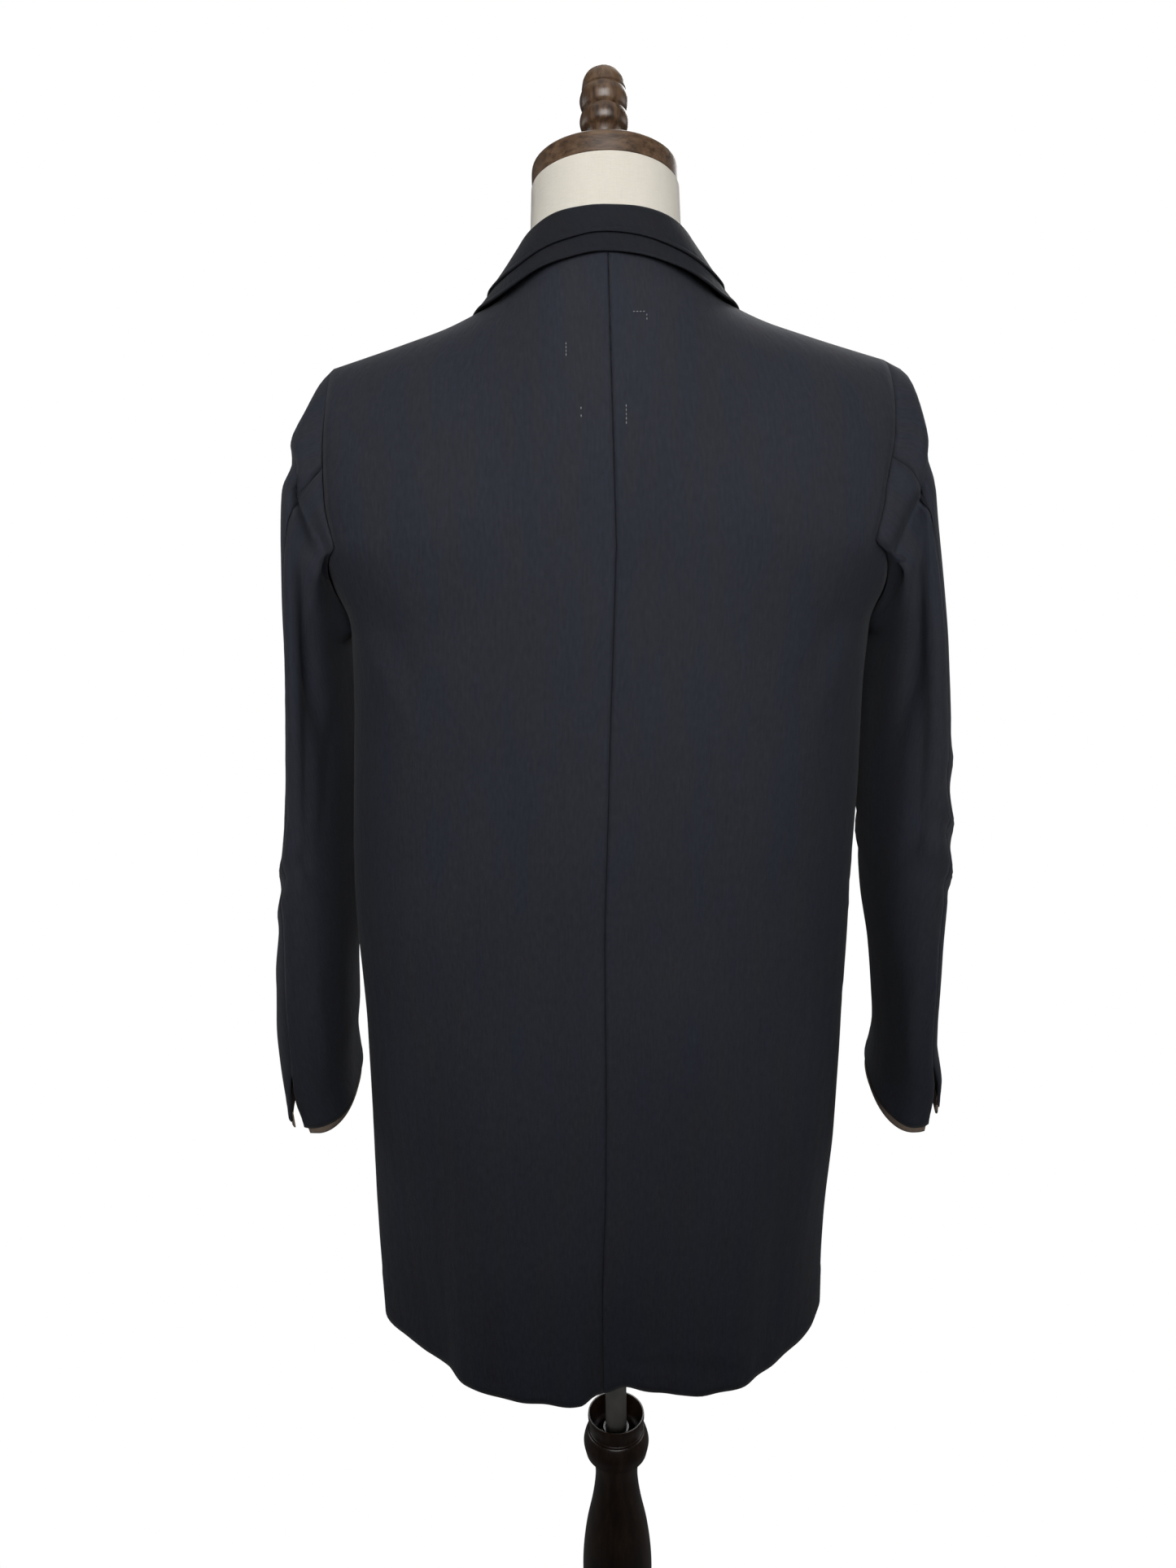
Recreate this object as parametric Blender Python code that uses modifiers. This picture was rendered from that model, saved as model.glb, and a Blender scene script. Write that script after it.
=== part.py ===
"""A long single-breasted coat on a limbless dress form with a turned stand.

Metres, +Z up, the floor at z = 0 and the stand's axis at x = y = 0. The coat's front faces -Y, so the
wearer's left side is +X. Every cloth piece is an open surface, worked out from the tables below, with
a Solidify modifier for its wall. Turned wood is a profile with a Screw modifier.
"""

import math

import bmesh
import bpy
import numpy as np

# Cloth
WALL = 0.0014
LEFT, RIGHT = 1, -1
COLLAR_WALL = 0.0014
TRIM_WALL = 0.0010
SEAM_GAP = 0.0004
HEM_Z = 0.607

# Coat body: one row for each level. half_width is the true half width up to the underarm, and
# above it the width of the section that the armhole cuts off.
BODY_COLUMNS = ("z", "centre_x", "half_width", "back", "front", "power")
BODY = np.array([
    (0.607, 0.0131, 0.2003, 0.1190, 0.1330, 1.90),
    (0.700, 0.0127, 0.2007, 0.1190, 0.1310, 1.95),
    (0.800, 0.0091, 0.2021, 0.1170, 0.1280, 2.00),
    (0.900, 0.0078, 0.2022, 0.1150, 0.1250, 2.05),
    (1.000, 0.0077, 0.2040, 0.1130, 0.1220, 2.10),
    (1.100, 0.0045, 0.2030, 0.1140, 0.1220, 2.15),
    (1.200, 0.0010, 0.2000, 0.1160, 0.1210, 2.25),
    (1.235, -0.0005, 0.2000, 0.1165, 0.1200, 2.30),
    (1.270, -0.0018, 0.2140, 0.1165, 0.1185, 2.40),
    (1.300, -0.0030, 0.2320, 0.1160, 0.1160, 2.50),
])
UNDERARM_Z = 1.235
BLADE_Z = 1.300

# Shoulder line and back neckline, out from the centre back.
TOP_COLUMNS = ("x", "y", "z")
TOP = np.array([
    (0.000, 0.0600, 1.5020),
    (0.030, 0.0548, 1.4990),
    (0.055, 0.0401, 1.4915),
    (0.068, 0.0237, 1.4830),
    (0.074, 0.0000, 1.4755),
    (0.093, -0.0020, 1.4650),
    (0.120, -0.0035, 1.4530),
    (0.150, -0.0045, 1.4425),
    (0.180, -0.0055, 1.4335),
    (0.208, -0.0060, 1.4255),
])
NECK_X = 0.074
TIP_X = 0.208
NAPE_ARCH = 52.0
NECK_COLUMNS = 5

# Armhole: how far out the panels reach at each level above the blades, and how much less on the
# right side, where the seam lies further in.
ARMHOLE_COLUMNS = ("z", "back_x", "front_x", "right_in")
ARMHOLE = np.array([
    (1.300, 0.1985, 0.1900, 0.0165),
    (1.330, 0.2050, 0.1945, 0.0160),
    (1.370, 0.2060, 0.2000, 0.0080),
    (1.400, 0.2050, 0.2035, 0.0040),
    (1.4255, 0.2055, 0.2055, 0.0035),
])
ARMHOLE_SPLIT = 0.62
SIDE_COLUMNS = ("z", "main_x")
SIDE_START = np.array([
    (0.607, 0.160),
    (1.000, 0.162),
    (1.150, 0.168),
    (1.235, 0.182),
    (1.300, 0.1985),
])

# Soft folds of the skirt at the hem: angle from the centre back (left side 90), depth out (+) or
# in (-), how much the hem is drawn up, and the level where each fold has faded out.
FOLD_COLUMNS = ("angle", "depth", "rise", "fade_z")
FOLDS = np.array([
    (-180.0, 0.0000, 0.000, 0.90),
    (-146.0, -0.0045, 0.000, 0.95),
    (-118.0, 0.0045, 0.000, 1.00),
    (-93.0, 0.0015, 0.000, 1.00),
    (-76.0, -0.0036, 0.000, 1.00),
    (-62.0, 0.0005, 0.000, 0.98),
    (-50.0, 0.0085, 0.000, 0.98),
    (-38.0, 0.0065, 0.000, 0.95),
    (-30.0, 0.0008, 0.000, 0.90),
    (-22.0, -0.0040, 0.002, 0.85),
    (-8.0, -0.0100, 0.005, 0.80),
    (2.0, -0.0045, 0.004, 0.82),
    (9.0, 0.0040, 0.000, 0.90),
    (20.0, 0.0060, 0.000, 0.95),
    (36.0, 0.0065, 0.000, 1.00),
    (50.0, 0.0030, 0.000, 1.05),
    (59.0, -0.0085, 0.000, 1.08),
    (66.0, -0.0135, 0.000, 1.08),
    (76.0, -0.0105, 0.000, 1.05),
    (88.0, -0.0020, 0.000, 1.00),
    (100.0, 0.0065, 0.000, 0.95),
    (120.0, 0.0045, 0.000, 1.00),
    (146.0, -0.0045, 0.000, 0.95),
    (180.0, 0.0000, 0.000, 0.90),
])
FOLD_SHAPE = 1.3

# Front opening
LAP = 0.018
LAP_STEP = 0.0024
BREAK_Z = 1.205
ROLL_COLUMNS = ("z", "x")
ROLL = np.array([
    (1.205, -0.018),
    (1.240, -0.005),
    (1.290, 0.014),
    (1.350, 0.037),
    (1.400, 0.055),
    (1.440, 0.068),
    (1.4755, 0.074),
])
LAPEL_COLUMNS = ("t", "z", "width")
LAPEL = np.array([
    (0.00, 1.266, 0.005),
    (0.20, 1.296, 0.024),
    (0.45, 1.338, 0.045),
    (0.75, 1.388, 0.060),
    (1.00, 1.4285, 0.064),
])
LAPEL_LIFT = 0.0046
LAPEL_UNDER = 0.0030
LAPEL_TURN = 0.010
LAPEL_ROLL = ((0.0, -0.0030), (0.0027, -0.0016), (0.0034, 0.0010), (0.0016, 0.0040))

# Collar: the roll edge, the foot of its stand along the neckline and the edge of the lower fall,
# from the centre back to the gorge. The edge is then laid on the body.
COLLAR_COLUMNS = ("t", "roll_x", "roll_y", "roll_z", "edge_x", "edge_y", "edge_z", "upper_share")
COLLAR = np.array([
    (0.00, 0.0000, 0.0645, 1.5215, 0.0000, 0.0690, 1.4940, 0.52),
    (0.18, 0.0270, 0.0585, 1.5200, 0.0340, 0.0660, 1.4853, 0.62),
    (0.36, 0.0475, 0.0395, 1.5130, 0.0665, 0.0555, 1.4690, 0.70),
    (0.54, 0.0605, 0.0110, 1.4985, 0.0900, 0.0190, 1.4650, 0.65),
    (0.70, 0.0655, -0.0220, 1.4830, 0.1050, -0.0240, 1.4540, 0.56),
    (0.86, 0.0645, -0.0550, 1.4610, 0.1110, -0.0500, 1.4400, 0.52),
    (1.00, 0.0580, -0.0790, 1.4350, 0.1050, -0.0700, 1.4300, 0.52),
])
FOLD_RADIUS = 0.0045
LEAF_STEPS = 8
LOWER_STAND = 0.55
LOWER_LIFT = 0.0034
LEAF_BOW = 0.0008

# Sleeves: the outer and inner line of each ring, from the armhole to the cuff.
SLEEVE_COLUMNS = ("s", "out_left", "out_right", "out_z", "in_left", "in_right", "in_z",
                  "centre_y", "half_depth", "shear", "tilt")
SLEEVE = np.array([
    (0.00, 0.2055, 0.2020, 1.4255, 0.2060, 0.2055, 1.235, -0.003, 0.078, 0.00, 0.00),
    (0.04, 0.2130, 0.2165, 1.4165, 0.2070, 0.2070, 1.231, -0.002, 0.079, 0.02, 0.00),
    (0.09, 0.2205, 0.2235, 1.4000, 0.2080, 0.2080, 1.227, 0.000, 0.079, 0.03, 0.00),
    (0.15, 0.2300, 0.2285, 1.3760, 0.2085, 0.2080, 1.222, 0.001, 0.078, 0.05, 0.00),
    (0.21, 0.2340, 0.2330, 1.3410, 0.2085, 0.2080, 1.214, 0.002, 0.077, 0.07, 0.00),
    (0.28, 0.2355, 0.2385, 1.2980, 0.2085, 0.2080, 1.202, 0.003, 0.076, 0.09, 0.00),
    (0.35, 0.2375, 0.2465, 1.2450, 0.2090, 0.2080, 1.182, 0.004, 0.075, 0.10, 0.00),
    (0.43, 0.2405, 0.2535, 1.1900, 0.2105, 0.2085, 1.150, 0.005, 0.0735, 0.10, 0.00),
    (0.52, 0.2500, 0.2620, 1.1150, 0.2130, 0.2090, 1.095, 0.005, 0.072, 0.09, 0.02),
    (0.60, 0.2615, 0.2680, 1.0550, 0.2160, 0.2120, 1.045, 0.003, 0.070, 0.07, 0.05),
    (0.69, 0.2715, 0.2685, 0.9950, 0.2185, 0.2185, 0.990, -0.003, 0.068, 0.05, 0.09),
    (0.78, 0.2810, 0.2715, 0.9400, 0.2230, 0.2290, 0.938, -0.010, 0.065, 0.04, 0.13),
    (0.87, 0.2870, 0.2760, 0.8900, 0.2260, 0.2355, 0.890, -0.018, 0.062, 0.03, 0.17),
    (0.94, 0.2885, 0.2860, 0.8480, 0.2310, 0.2390, 0.848, -0.027, 0.060, 0.02, 0.20),
    (1.00, 0.2880, 0.2890, 0.8120, 0.2310, 0.2355, 0.812, -0.035, 0.058, 0.02, 0.225),
])
SLEEVE_POWER = 2.4
CAP_BLEND_S = 0.15
SEAM_COLUMNS = ("s", "hind", "fore")
SEAMS = np.array([
    (0.00, 79.7, 248.4),
    (0.30, 72.0, 240.0),
    (0.60, 66.0, 235.0),
    (0.86, 73.0, 235.0),
    (1.00, 69.0, 235.0),
])
BACK_ARCH_ROWS = 7
FRONT_ARCH_ROWS = 8
SIDE_STRIPS = 4
SEAM_OPEN = 0.0015
VENT_S = 0.868
VENT_SPREAD = 0.0050
VENT_SLIP = 7.0
CORNER_SLIP = {LEFT: 9.0, RIGHT: 2.0}
SLEEVE_RISE = {LEFT: 0.0072, RIGHT: 0.0}
FLAP_RISE = {LEFT: 0.0050, RIGHT: 0.0190}
TRIM_TUCK = 0.010
TRIM_SHOW = 0.0065

# Dents of the sleeve: ring angle (0 outer, 90 back), half angle, s, half length in s, depth.
DENT_COLUMNS = ("angle", "half_angle", "s", "half_s", "depth")
DENTS = np.array([
    (128.0, 26.0, 0.30, 0.16, -0.0080),
    (100.0, 16.0, 0.16, 0.07, -0.0040),
    (50.0, 26.0, 0.56, 0.07, -0.0025),
    (250.0, 24.0, 0.58, 0.08, -0.0050),
    (300.0, 22.0, 0.20, 0.10, -0.0035),
])

# Dress form: one row for each ring.
FORM_COLUMNS = ("z", "half_width", "half_depth", "centre_y", "power", "tilt")
FORM = np.array([
    (0.7850, 0.1480, 0.0920, 0.000, 2.2, 0.0),
    (0.8000, 0.1600, 0.1010, 0.000, 2.2, 0.0),
    (0.8700, 0.1670, 0.1070, 0.000, 2.2, 0.0),
    (0.9600, 0.1530, 0.0990, 0.000, 2.2, 0.0),
    (1.0500, 0.1310, 0.0880, -0.002, 2.1, 0.0),
    (1.1200, 0.1300, 0.0880, -0.004, 2.1, 0.0),
    (1.2000, 0.1460, 0.0990, -0.006, 2.1, 0.0),
    (1.2700, 0.1590, 0.1040, -0.004, 2.1, 0.0),
    (1.3300, 0.1710, 0.0960, 0.001, 2.0, 0.0),
    (1.3800, 0.1820, 0.0800, 0.002, 1.9, 0.0),
    (1.4100, 0.1870, 0.0700, 0.001, 1.8, 0.0),
    (1.4238, 0.1830, 0.0640, 0.000, 1.7, 0.0),
    (1.4326, 0.1715, 0.0610, -0.001, 1.6, 0.0),
    (1.4396, 0.1490, 0.0600, -0.001, 1.55, 0.0),
    (1.4490, 0.1200, 0.0590, -0.001, 1.55, 0.0),
    (1.4610, 0.0925, 0.0575, 0.000, 1.6, 0.0),
    (1.4720, 0.0745, 0.0570, 0.001, 1.8, 0.0),
    (1.4830, 0.0600, 0.0550, 0.002, 2.0, 0.05),
    (1.4980, 0.0552, 0.0540, 0.000, 2.0, 0.12),
    (1.5200, 0.0545, 0.0535, -0.004, 2.0, 0.20),
    (1.5450, 0.0535, 0.0530, -0.008, 2.0, 0.268),
])
NECK_TILT = math.radians(15.0)
NECK_TOP = (0.0, -0.008, 1.545)
CAP_RADIUS = 0.0530
CAP_HEIGHT = 0.0175
FIT = 0.0003

# Turned wood: radius and height of each profile point, top to bottom.
FINIAL_COLUMNS = ("radius", "height")
FINIAL = [
    (0.0000, 0.0720), (0.0060, 0.0712), (0.0115, 0.0680), (0.0148, 0.0630), (0.0160, 0.0565),
    (0.0152, 0.0556), (0.0166, 0.0530), (0.0177, 0.0480), (0.0166, 0.0430), (0.0146, 0.0405),
    (0.0166, 0.0380), (0.0178, 0.0330), (0.0166, 0.0280), (0.0130, 0.0250), (0.0105, 0.0190),
    (0.0110, 0.0120), (0.0160, 0.0080), (0.0170, 0.0040), (0.0160, 0.0000), (0.0000, 0.0000),
]
COLUMN_TOP = 0.4835
SOCKET_RADIUS = 0.0104
SOCKET_FLOOR = 0.380
COLUMN = [
    (0.0000, SOCKET_FLOOR), (SOCKET_RADIUS, SOCKET_FLOOR), (SOCKET_RADIUS, 0.4675),
    (0.0122, 0.4675), (0.0127, 0.4605), (0.0195, 0.4605), (0.0236, 0.4665), (0.0254, COLUMN_TOP),
    (0.0266, COLUMN_TOP), (0.0268, 0.4790), (0.0252, 0.4680), (0.0280, 0.4650), (0.0312, 0.4530),
    (0.0292, 0.4410), (0.0225, 0.4365), (0.0204, 0.4200), (0.0208, 0.4050), (0.0238, 0.3830),
    (0.0296, 0.3530), (0.0331, 0.3230), (0.0340, 0.2950), (0.0326, 0.2600), (0.0270, 0.2150),
    (0.0222, 0.1750), (0.0205, 0.1520), (0.0285, 0.1440), (0.0318, 0.1320), (0.0285, 0.1200),
    (0.0215, 0.1130), (0.0260, 0.0900), (0.0360, 0.0700), (0.0500, 0.0560), (0.0560, 0.0480),
    (0.0560, 0.0303), (0.0000, 0.0303),
]
BASE_RADIUS = 0.180
BASE = [
    (0.0000, 0.0300), (0.1480, 0.0300), (0.1600, 0.0270), (0.1680, 0.0215), (0.1760, 0.0200),
    (BASE_RADIUS, 0.0160), (BASE_RADIUS, 0.0040), (0.1770, 0.0000), (0.0000, 0.0000),
]
POLE_RADIUS = 0.0100
PLATE_RADIUS = 0.085
PLATE_HEIGHT = 0.012

# Buttons
BUTTON_RADIUS = 0.0100
BUTTON_HEIGHT = 0.0034
BUTTON_LEVELS = (1.175, 1.055, 0.935)
BUTTON_PROFILE = [
    (0.0000, 0.0020), (0.0066, 0.0020), (0.0076, 0.0034), (0.0092, 0.0034), (0.0100, 0.0022),
    (0.0096, 0.0008), (0.0070, 0.0000), (0.0000, 0.0000),
]

BACK, FRONT = 1, -1


def table_curve(table, names, name, at):
    """Smooth monotone cubic through one column of a table, read at the first column's value."""
    x = table[:, 0]
    y = table[:, names.index(name)]
    h = np.diff(x)
    slope = np.diff(y) / h
    tangent = np.zeros_like(y)
    tangent[0], tangent[-1] = slope[0], slope[-1]
    for i in range(1, len(x) - 1):
        if slope[i - 1] * slope[i] > 0:
            w1, w2 = 2 * h[i] + h[i - 1], h[i] + 2 * h[i - 1]
            tangent[i] = (w1 + w2) / (w1 / slope[i - 1] + w2 / slope[i])
    at = min(max(at, x[0]), x[-1])
    i = min(int(np.searchsorted(x, at, side="right")) - 1, len(h) - 1)
    t = (at - x[i]) / h[i]
    return (
        (1 + 2 * t) * (1 - t) ** 2 * y[i]
        + t * (1 - t) ** 2 * h[i] * tangent[i]
        + t * t * (3 - 2 * t) * y[i + 1]
        + t * t * (t - 1) * h[i] * tangent[i + 1]
    )


def smooth_step(low, high, value):
    """0 at low, 1 at high, and a soft curve between them."""
    t = min(max((value - low) / (high - low), 0.0), 1.0)
    return t * t * (3 - 2 * t)


def body_value(name, z):
    return table_curve(BODY, BODY_COLUMNS, name, z)


def fold_share(angle, z):
    return smooth_step(table_curve(FOLDS, FOLD_COLUMNS, "fade_z", angle), HEM_Z, z) ** FOLD_SHAPE


def fold_depth(angle, z):
    """Offset of the skirt's folds at an angle from the centre back."""
    return table_curve(FOLDS, FOLD_COLUMNS, "depth", angle) * fold_share(angle, z)


def with_folds(side, face, out_x, y, z):
    """Moves a point of the body's plain section out or in along its own direction."""
    half, depth = body_value("half_width", z), body_value("back" if face == BACK else "front", z)
    angle = math.degrees(math.atan2(side * out_x, y))
    direction = np.array([side * out_x / half**2, y / depth**2])
    direction /= max(np.linalg.norm(direction), 1e-9)
    shift = fold_depth(angle, z) * direction
    rise = table_curve(FOLDS, FOLD_COLUMNS, "rise", angle) * smooth_step(0.74, HEM_Z, z)
    return side * out_x + shift[0], y + shift[1], z + rise


def level_depth(face, out_x, z):
    """Distance of the section from the side-to-side axis, at out_x from the centre."""
    half, power = body_value("half_width", z), body_value("power", z)
    depth = body_value("back" if face == BACK else "front", z)
    return depth * max(1 - (out_x / half) ** power, 0.0) ** (1 / power)


def top_point(face, out_x):
    """Shoulder line, and on the back the neckline inside it."""
    if face == FRONT and out_x < NECK_X:
        return 0.0, 1.4755 + 0.45 * (NECK_X - out_x)
    return tuple(table_curve(TOP, TOP_COLUMNS, name, out_x) for name in ("y", "z"))


def main_point(side, face, out_x, z):
    """Body surface below the blades."""
    x, y, z_true = with_folds(side, face, out_x, face * level_depth(face, out_x, z), z)
    return np.array([body_value("centre_x", z) + x, y, z_true])


def arch_point(side, face, out_x, turn):
    """Body surface over the blades: turn 0 at blade level, 90 degrees at the shoulder line."""
    y_top, z_top = top_point(face, out_x)
    y_low = face * level_depth(face, out_x, BLADE_Z)
    last = math.radians(NAPE_ARCH + (90.0 - NAPE_ARCH) * smooth_step(0.0, NECK_X, out_x))
    if face == FRONT:
        last = math.pi / 2
    bend = turn * last / (math.pi / 2)
    y = y_top + (y_low - y_top) * (math.cos(bend) - math.cos(last)) / (1 - math.cos(last))
    z = BLADE_Z + (z_top - BLADE_Z) * math.sin(bend) / math.sin(last)
    lean = 1 - math.sin(turn) * (1 - min(out_x / TIP_X, 1.0))
    return np.array([body_value("centre_x", BLADE_Z) * lean + side * out_x, y, z])


def armhole_x(side, face, z):
    less = table_curve(ARMHOLE, ARMHOLE_COLUMNS, "right_in", z) if side == RIGHT else 0.0
    less *= 1.0 if face == BACK else smooth_step(1.30, 1.43, z)
    return table_curve(ARMHOLE, ARMHOLE_COLUMNS, "back_x" if face == BACK else "front_x", z) - less


def side_start_x(side, face, z):
    """Where the side part of a panel begins."""
    to_armhole = armhole_x(side, face, BLADE_Z) - SIDE_START[-1, 1]
    narrow = to_armhole * smooth_step(1.12, BLADE_Z, z)
    return table_curve(SIDE_START, SIDE_COLUMNS, "main_x", z) + narrow


def side_point(side, face, share, z_row):
    """Side part of a panel: share 0 at its start, 1 at the side seam. Its top row is the armhole."""
    start, half = side_start_x(side, face, z_row), body_value("half_width", z_row)
    power = body_value("power", z_row)
    first = math.asin(min((start / half) ** (power / 2), 1.0))
    turn = first + (math.pi / 2 - first) * share
    drop = (BLADE_Z - UNDERARM_Z) * math.sin(share * math.pi / 2) ** 1.25
    z = z_row - drop * smooth_step(0.98, BLADE_Z, z_row)
    power = body_value("power", z)
    half = body_value("half_width", z)
    first_here = math.asin(min((start / half) ** (power / 2), 1.0)) if start < half else first
    turn = first_here + (math.pi / 2 - first_here) * share
    out_x = half * math.sin(turn) ** (2 / power)
    return main_point(side, face, min(out_x, half * 0.99999), z)


def arch_turns(count):
    """Row angles of the arch, closer together near the shoulder line."""
    return [math.radians(90.0 * k / count) for k in range(count + 1)]


def outer_x_on_arch(side, face, turn):
    """Where an arch row meets the armhole."""
    out_x = TIP_X
    for _ in range(12):
        z_top = top_point(face, out_x)[1]
        out_x = armhole_x(side, face, BLADE_Z + (z_top - BLADE_Z) * math.sin(turn))
    return out_x


def roll_x(z):
    return table_curve(ROLL, ROLL_COLUMNS, "x", z)


def inner_x_on_arch(turn):
    """Where an arch row of the front meets the roll line."""
    out_x = NECK_X
    for _ in range(40):
        z_top = top_point(FRONT, out_x)[1]
        z = BLADE_Z + (z_top - BLADE_Z) * math.sin(turn)
        out_x += 0.5 * (roll_x(z) - out_x)
    return out_x


def body_rows(face, low_rows, arch_rows):
    """Row parameters from hem to shoulder: ("low", z) or ("arch", angle)."""
    levels = np.linspace(HEM_Z, BLADE_Z, low_rows + 1)
    if face == FRONT:
        nearest = int(np.argmin(abs(levels - BREAK_Z)))
        levels[nearest] = BREAK_Z
    rows = [("low", z) for z in levels]
    return rows + [("arch", turn) for turn in arch_turns(arch_rows)[1:]]


def body_panel(side, face, low_rows, arch_rows, main_columns, side_columns):
    """Points of one back or front panel, and None where the grid has no cloth."""
    inset = SEAM_GAP / 2
    grid = []
    for kind, value in body_rows(face, low_rows, arch_rows):
        row = []
        if kind == "low":
            start = side_start_x(side, face, value)
            first = inset if face == BACK else (roll_x(value) if value > BREAK_Z else -LAP)
        else:
            start = outer_x_on_arch(side, face, value)
            first = inset if face == BACK else inner_x_on_arch(value)
        for out_x in column_places(face, first, start, main_columns):
            if kind == "arch":
                row.append(arch_point(side, face, out_x, value))
            else:
                row.append(main_point(side, face, abs(out_x), value) if out_x >= 0
                           else main_point(-side, face, -out_x, value))
        for column in range(1, side_columns + 1):
            share = column / side_columns * (1 - inset / 0.03 * (column == side_columns))
            row.append(side_point(side, face, share, value) if kind == "low" else None)
        grid.append(row)
    close_shoulder(grid, face)
    if face == FRONT:
        lap_panel(grid, side)
    return grid


def column_places(face, first, last, count):
    """Distances out from the centre. On the back one column runs through the neck point."""
    if face == FRONT:
        return [first + (last - first) * k / count for k in range(count + 1)]
    inner = [first + (NECK_X - first) * k / NECK_COLUMNS for k in range(NECK_COLUMNS)]
    rest = count - NECK_COLUMNS
    return inner + [NECK_X + (last - NECK_X) * k / rest for k in range(rest + 1)]


def close_shoulder(grid, face):
    """Keeps the two shoulder edges a seam's gap apart."""
    for point in grid[-1]:
        if point is not None:
            point[1] += face * SEAM_GAP


def lap_panel(grid, side):
    """The left front lies over the right one, so it is moved out near the opening."""
    for row in grid:
        for point in row:
            if point is None:
                continue
            across = side * point[0]
            share = 1 - smooth_step(LAP, 0.075, across)
            point[1] -= side * LAP_STEP / 2 * share


def armhole_curve(side, face, share, back_off=0.0):
    """Armhole edge of the body from the shoulder tip (0) to the underarm (1)."""
    if share <= ARMHOLE_SPLIT:
        turn = math.pi / 2 * (1 - share / ARMHOLE_SPLIT)
        return arch_point(side, face, outer_x_on_arch(side, face, turn) - back_off, turn)
    return side_point(side, face, (share - ARMHOLE_SPLIT) / (1 - ARMHOLE_SPLIT), BLADE_Z - back_off)


def sleeve_value(name, s):
    return table_curve(SLEEVE, SLEEVE_COLUMNS, name, s)


def plain_ring(side, s, angle):
    """Ellipse-like ring of the sleeve: angle 0 outer or top, 90 back, 180 under, 270 front."""
    name = "left" if side == LEFT else "right"
    outer = np.array([sleeve_value("out_" + name, s), sleeve_value("out_z", s)])
    inner = np.array([sleeve_value("in_" + name, s), sleeve_value("in_z", s)])
    turn = math.radians(angle)
    middle, reach = (outer + inner) / 2, (outer - inner) / 2
    power = 2 / SLEEVE_POWER
    x, z = middle + reach * math.copysign(abs(math.cos(turn)) ** power, math.cos(turn))
    depth = sleeve_value("half_depth", s) * math.copysign(abs(math.sin(turn)) ** power, math.sin(turn))
    x += sleeve_value("shear", s) * depth
    z += SLEEVE_RISE[side] * smooth_step(0.75, 1.0, s) - sleeve_value("tilt", s) * depth
    return np.array([side * x, sleeve_value("centre_y", s) + depth, z])


def dent_depth(s, angle):
    total = 0.0
    for centre, half, middle, length, depth in DENTS:
        away = (angle - centre + 180.0) % 360.0 - 180.0
        total += depth * math.exp(-((away / half) ** 2) - ((s - middle) / length) ** 2)
    return total


def sleeve_point(side, s, angle):
    """Mid-surface of the sleeve. Near the armhole it follows the armhole's own curve."""
    point = plain_ring(side, s, angle)
    near = 1 - smooth_step(0.0, CAP_BLEND_S, s)
    if near > 0:
        wrapped = angle % 360.0
        face = BACK if wrapped <= 180.0 else FRONT
        share = wrapped / 180.0 if face == BACK else (360.0 - wrapped) / 180.0
        off = armhole_curve(side, face, share) - plain_ring(side, 0.0, angle)
        point += near * off
    centre = (plain_ring(side, s, 0.0) + plain_ring(side, s, 180.0)) / 2
    inward = point - centre
    inward /= max(np.linalg.norm(inward), 1e-9)
    return point + inward * dent_depth(s, angle) * (1 - near)


def vent_shape(side, s, angle, is_top):
    """Opens the hind seam below the vent: returns the new angle, the outward spread and the rise."""
    open_share = smooth_step(VENT_S, 1.0, s)
    away = abs(angle - SEAMS[-1, 1])
    near = math.exp(-((away / 24.0) ** 2))
    if is_top:
        rise = FLAP_RISE[side] * open_share * near
        return angle - VENT_SLIP * open_share * near, VENT_SPREAD * open_share * near, rise
    corner = smooth_step(0.95, 1.0, s)
    return angle + (1.0 * open_share + CORNER_SLIP[side] * corner) * near, -0.0015 * open_share * near, 0.0


def sleeve_panel_point(side, s, angle, is_top):
    """Sleeve point with the vent's spread."""
    moved, spread, rise = vent_shape(side, s, angle, is_top)
    point = sleeve_point(side, s, moved)
    centre = (sleeve_point(side, s, 0.0) + sleeve_point(side, s, 180.0)) / 2
    outward = point - centre
    outward[2] = 0.0
    point[2] += rise
    return point + outward / max(np.linalg.norm(outward), 1e-9) * spread


def armhole_angles(is_top):
    """Ring angles at which the body panels have a point on the armhole, for one sleeve panel."""
    split = 180.0 * ARMHOLE_SPLIT
    behind = [split * k / BACK_ARCH_ROWS for k in range(BACK_ARCH_ROWS)]
    behind += [split + (180.0 - split) * k / SIDE_STRIPS for k in range(SIDE_STRIPS + 1)]
    before = [360.0 - split * k / FRONT_ARCH_ROWS for k in range(FRONT_ARCH_ROWS, 0, -1)]
    under = [360.0 - split - (180.0 - split) * k / SIDE_STRIPS for k in range(SIDE_STRIPS - 1, 0, -1)]
    hind, fore = SEAMS[0, 1], SEAMS[0, 2]
    ring = behind + under + before
    if is_top:
        return sorted([a - 360.0 for a in ring if a > fore - 1.0] + [a for a in ring if a < hind + 1.0])
    return sorted(a for a in ring if hind - 1.0 < a < fore + 1.0)


def sleeve_angles(is_top, s):
    """Column angles of one sleeve panel, from seam to seam."""
    hind = table_curve(SEAMS, SEAM_COLUMNS, "hind", s)
    fore = table_curve(SEAMS, SEAM_COLUMNS, "fore", s)
    low, high = (fore - 360.0, hind) if is_top else (hind, fore)
    start = armhole_angles(is_top)
    count = len(start) - 1
    even = smooth_step(0.0, 0.35, s)
    return [a + (low + (high - low) * k / count - a) * even for k, a in enumerate(start)]


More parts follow.
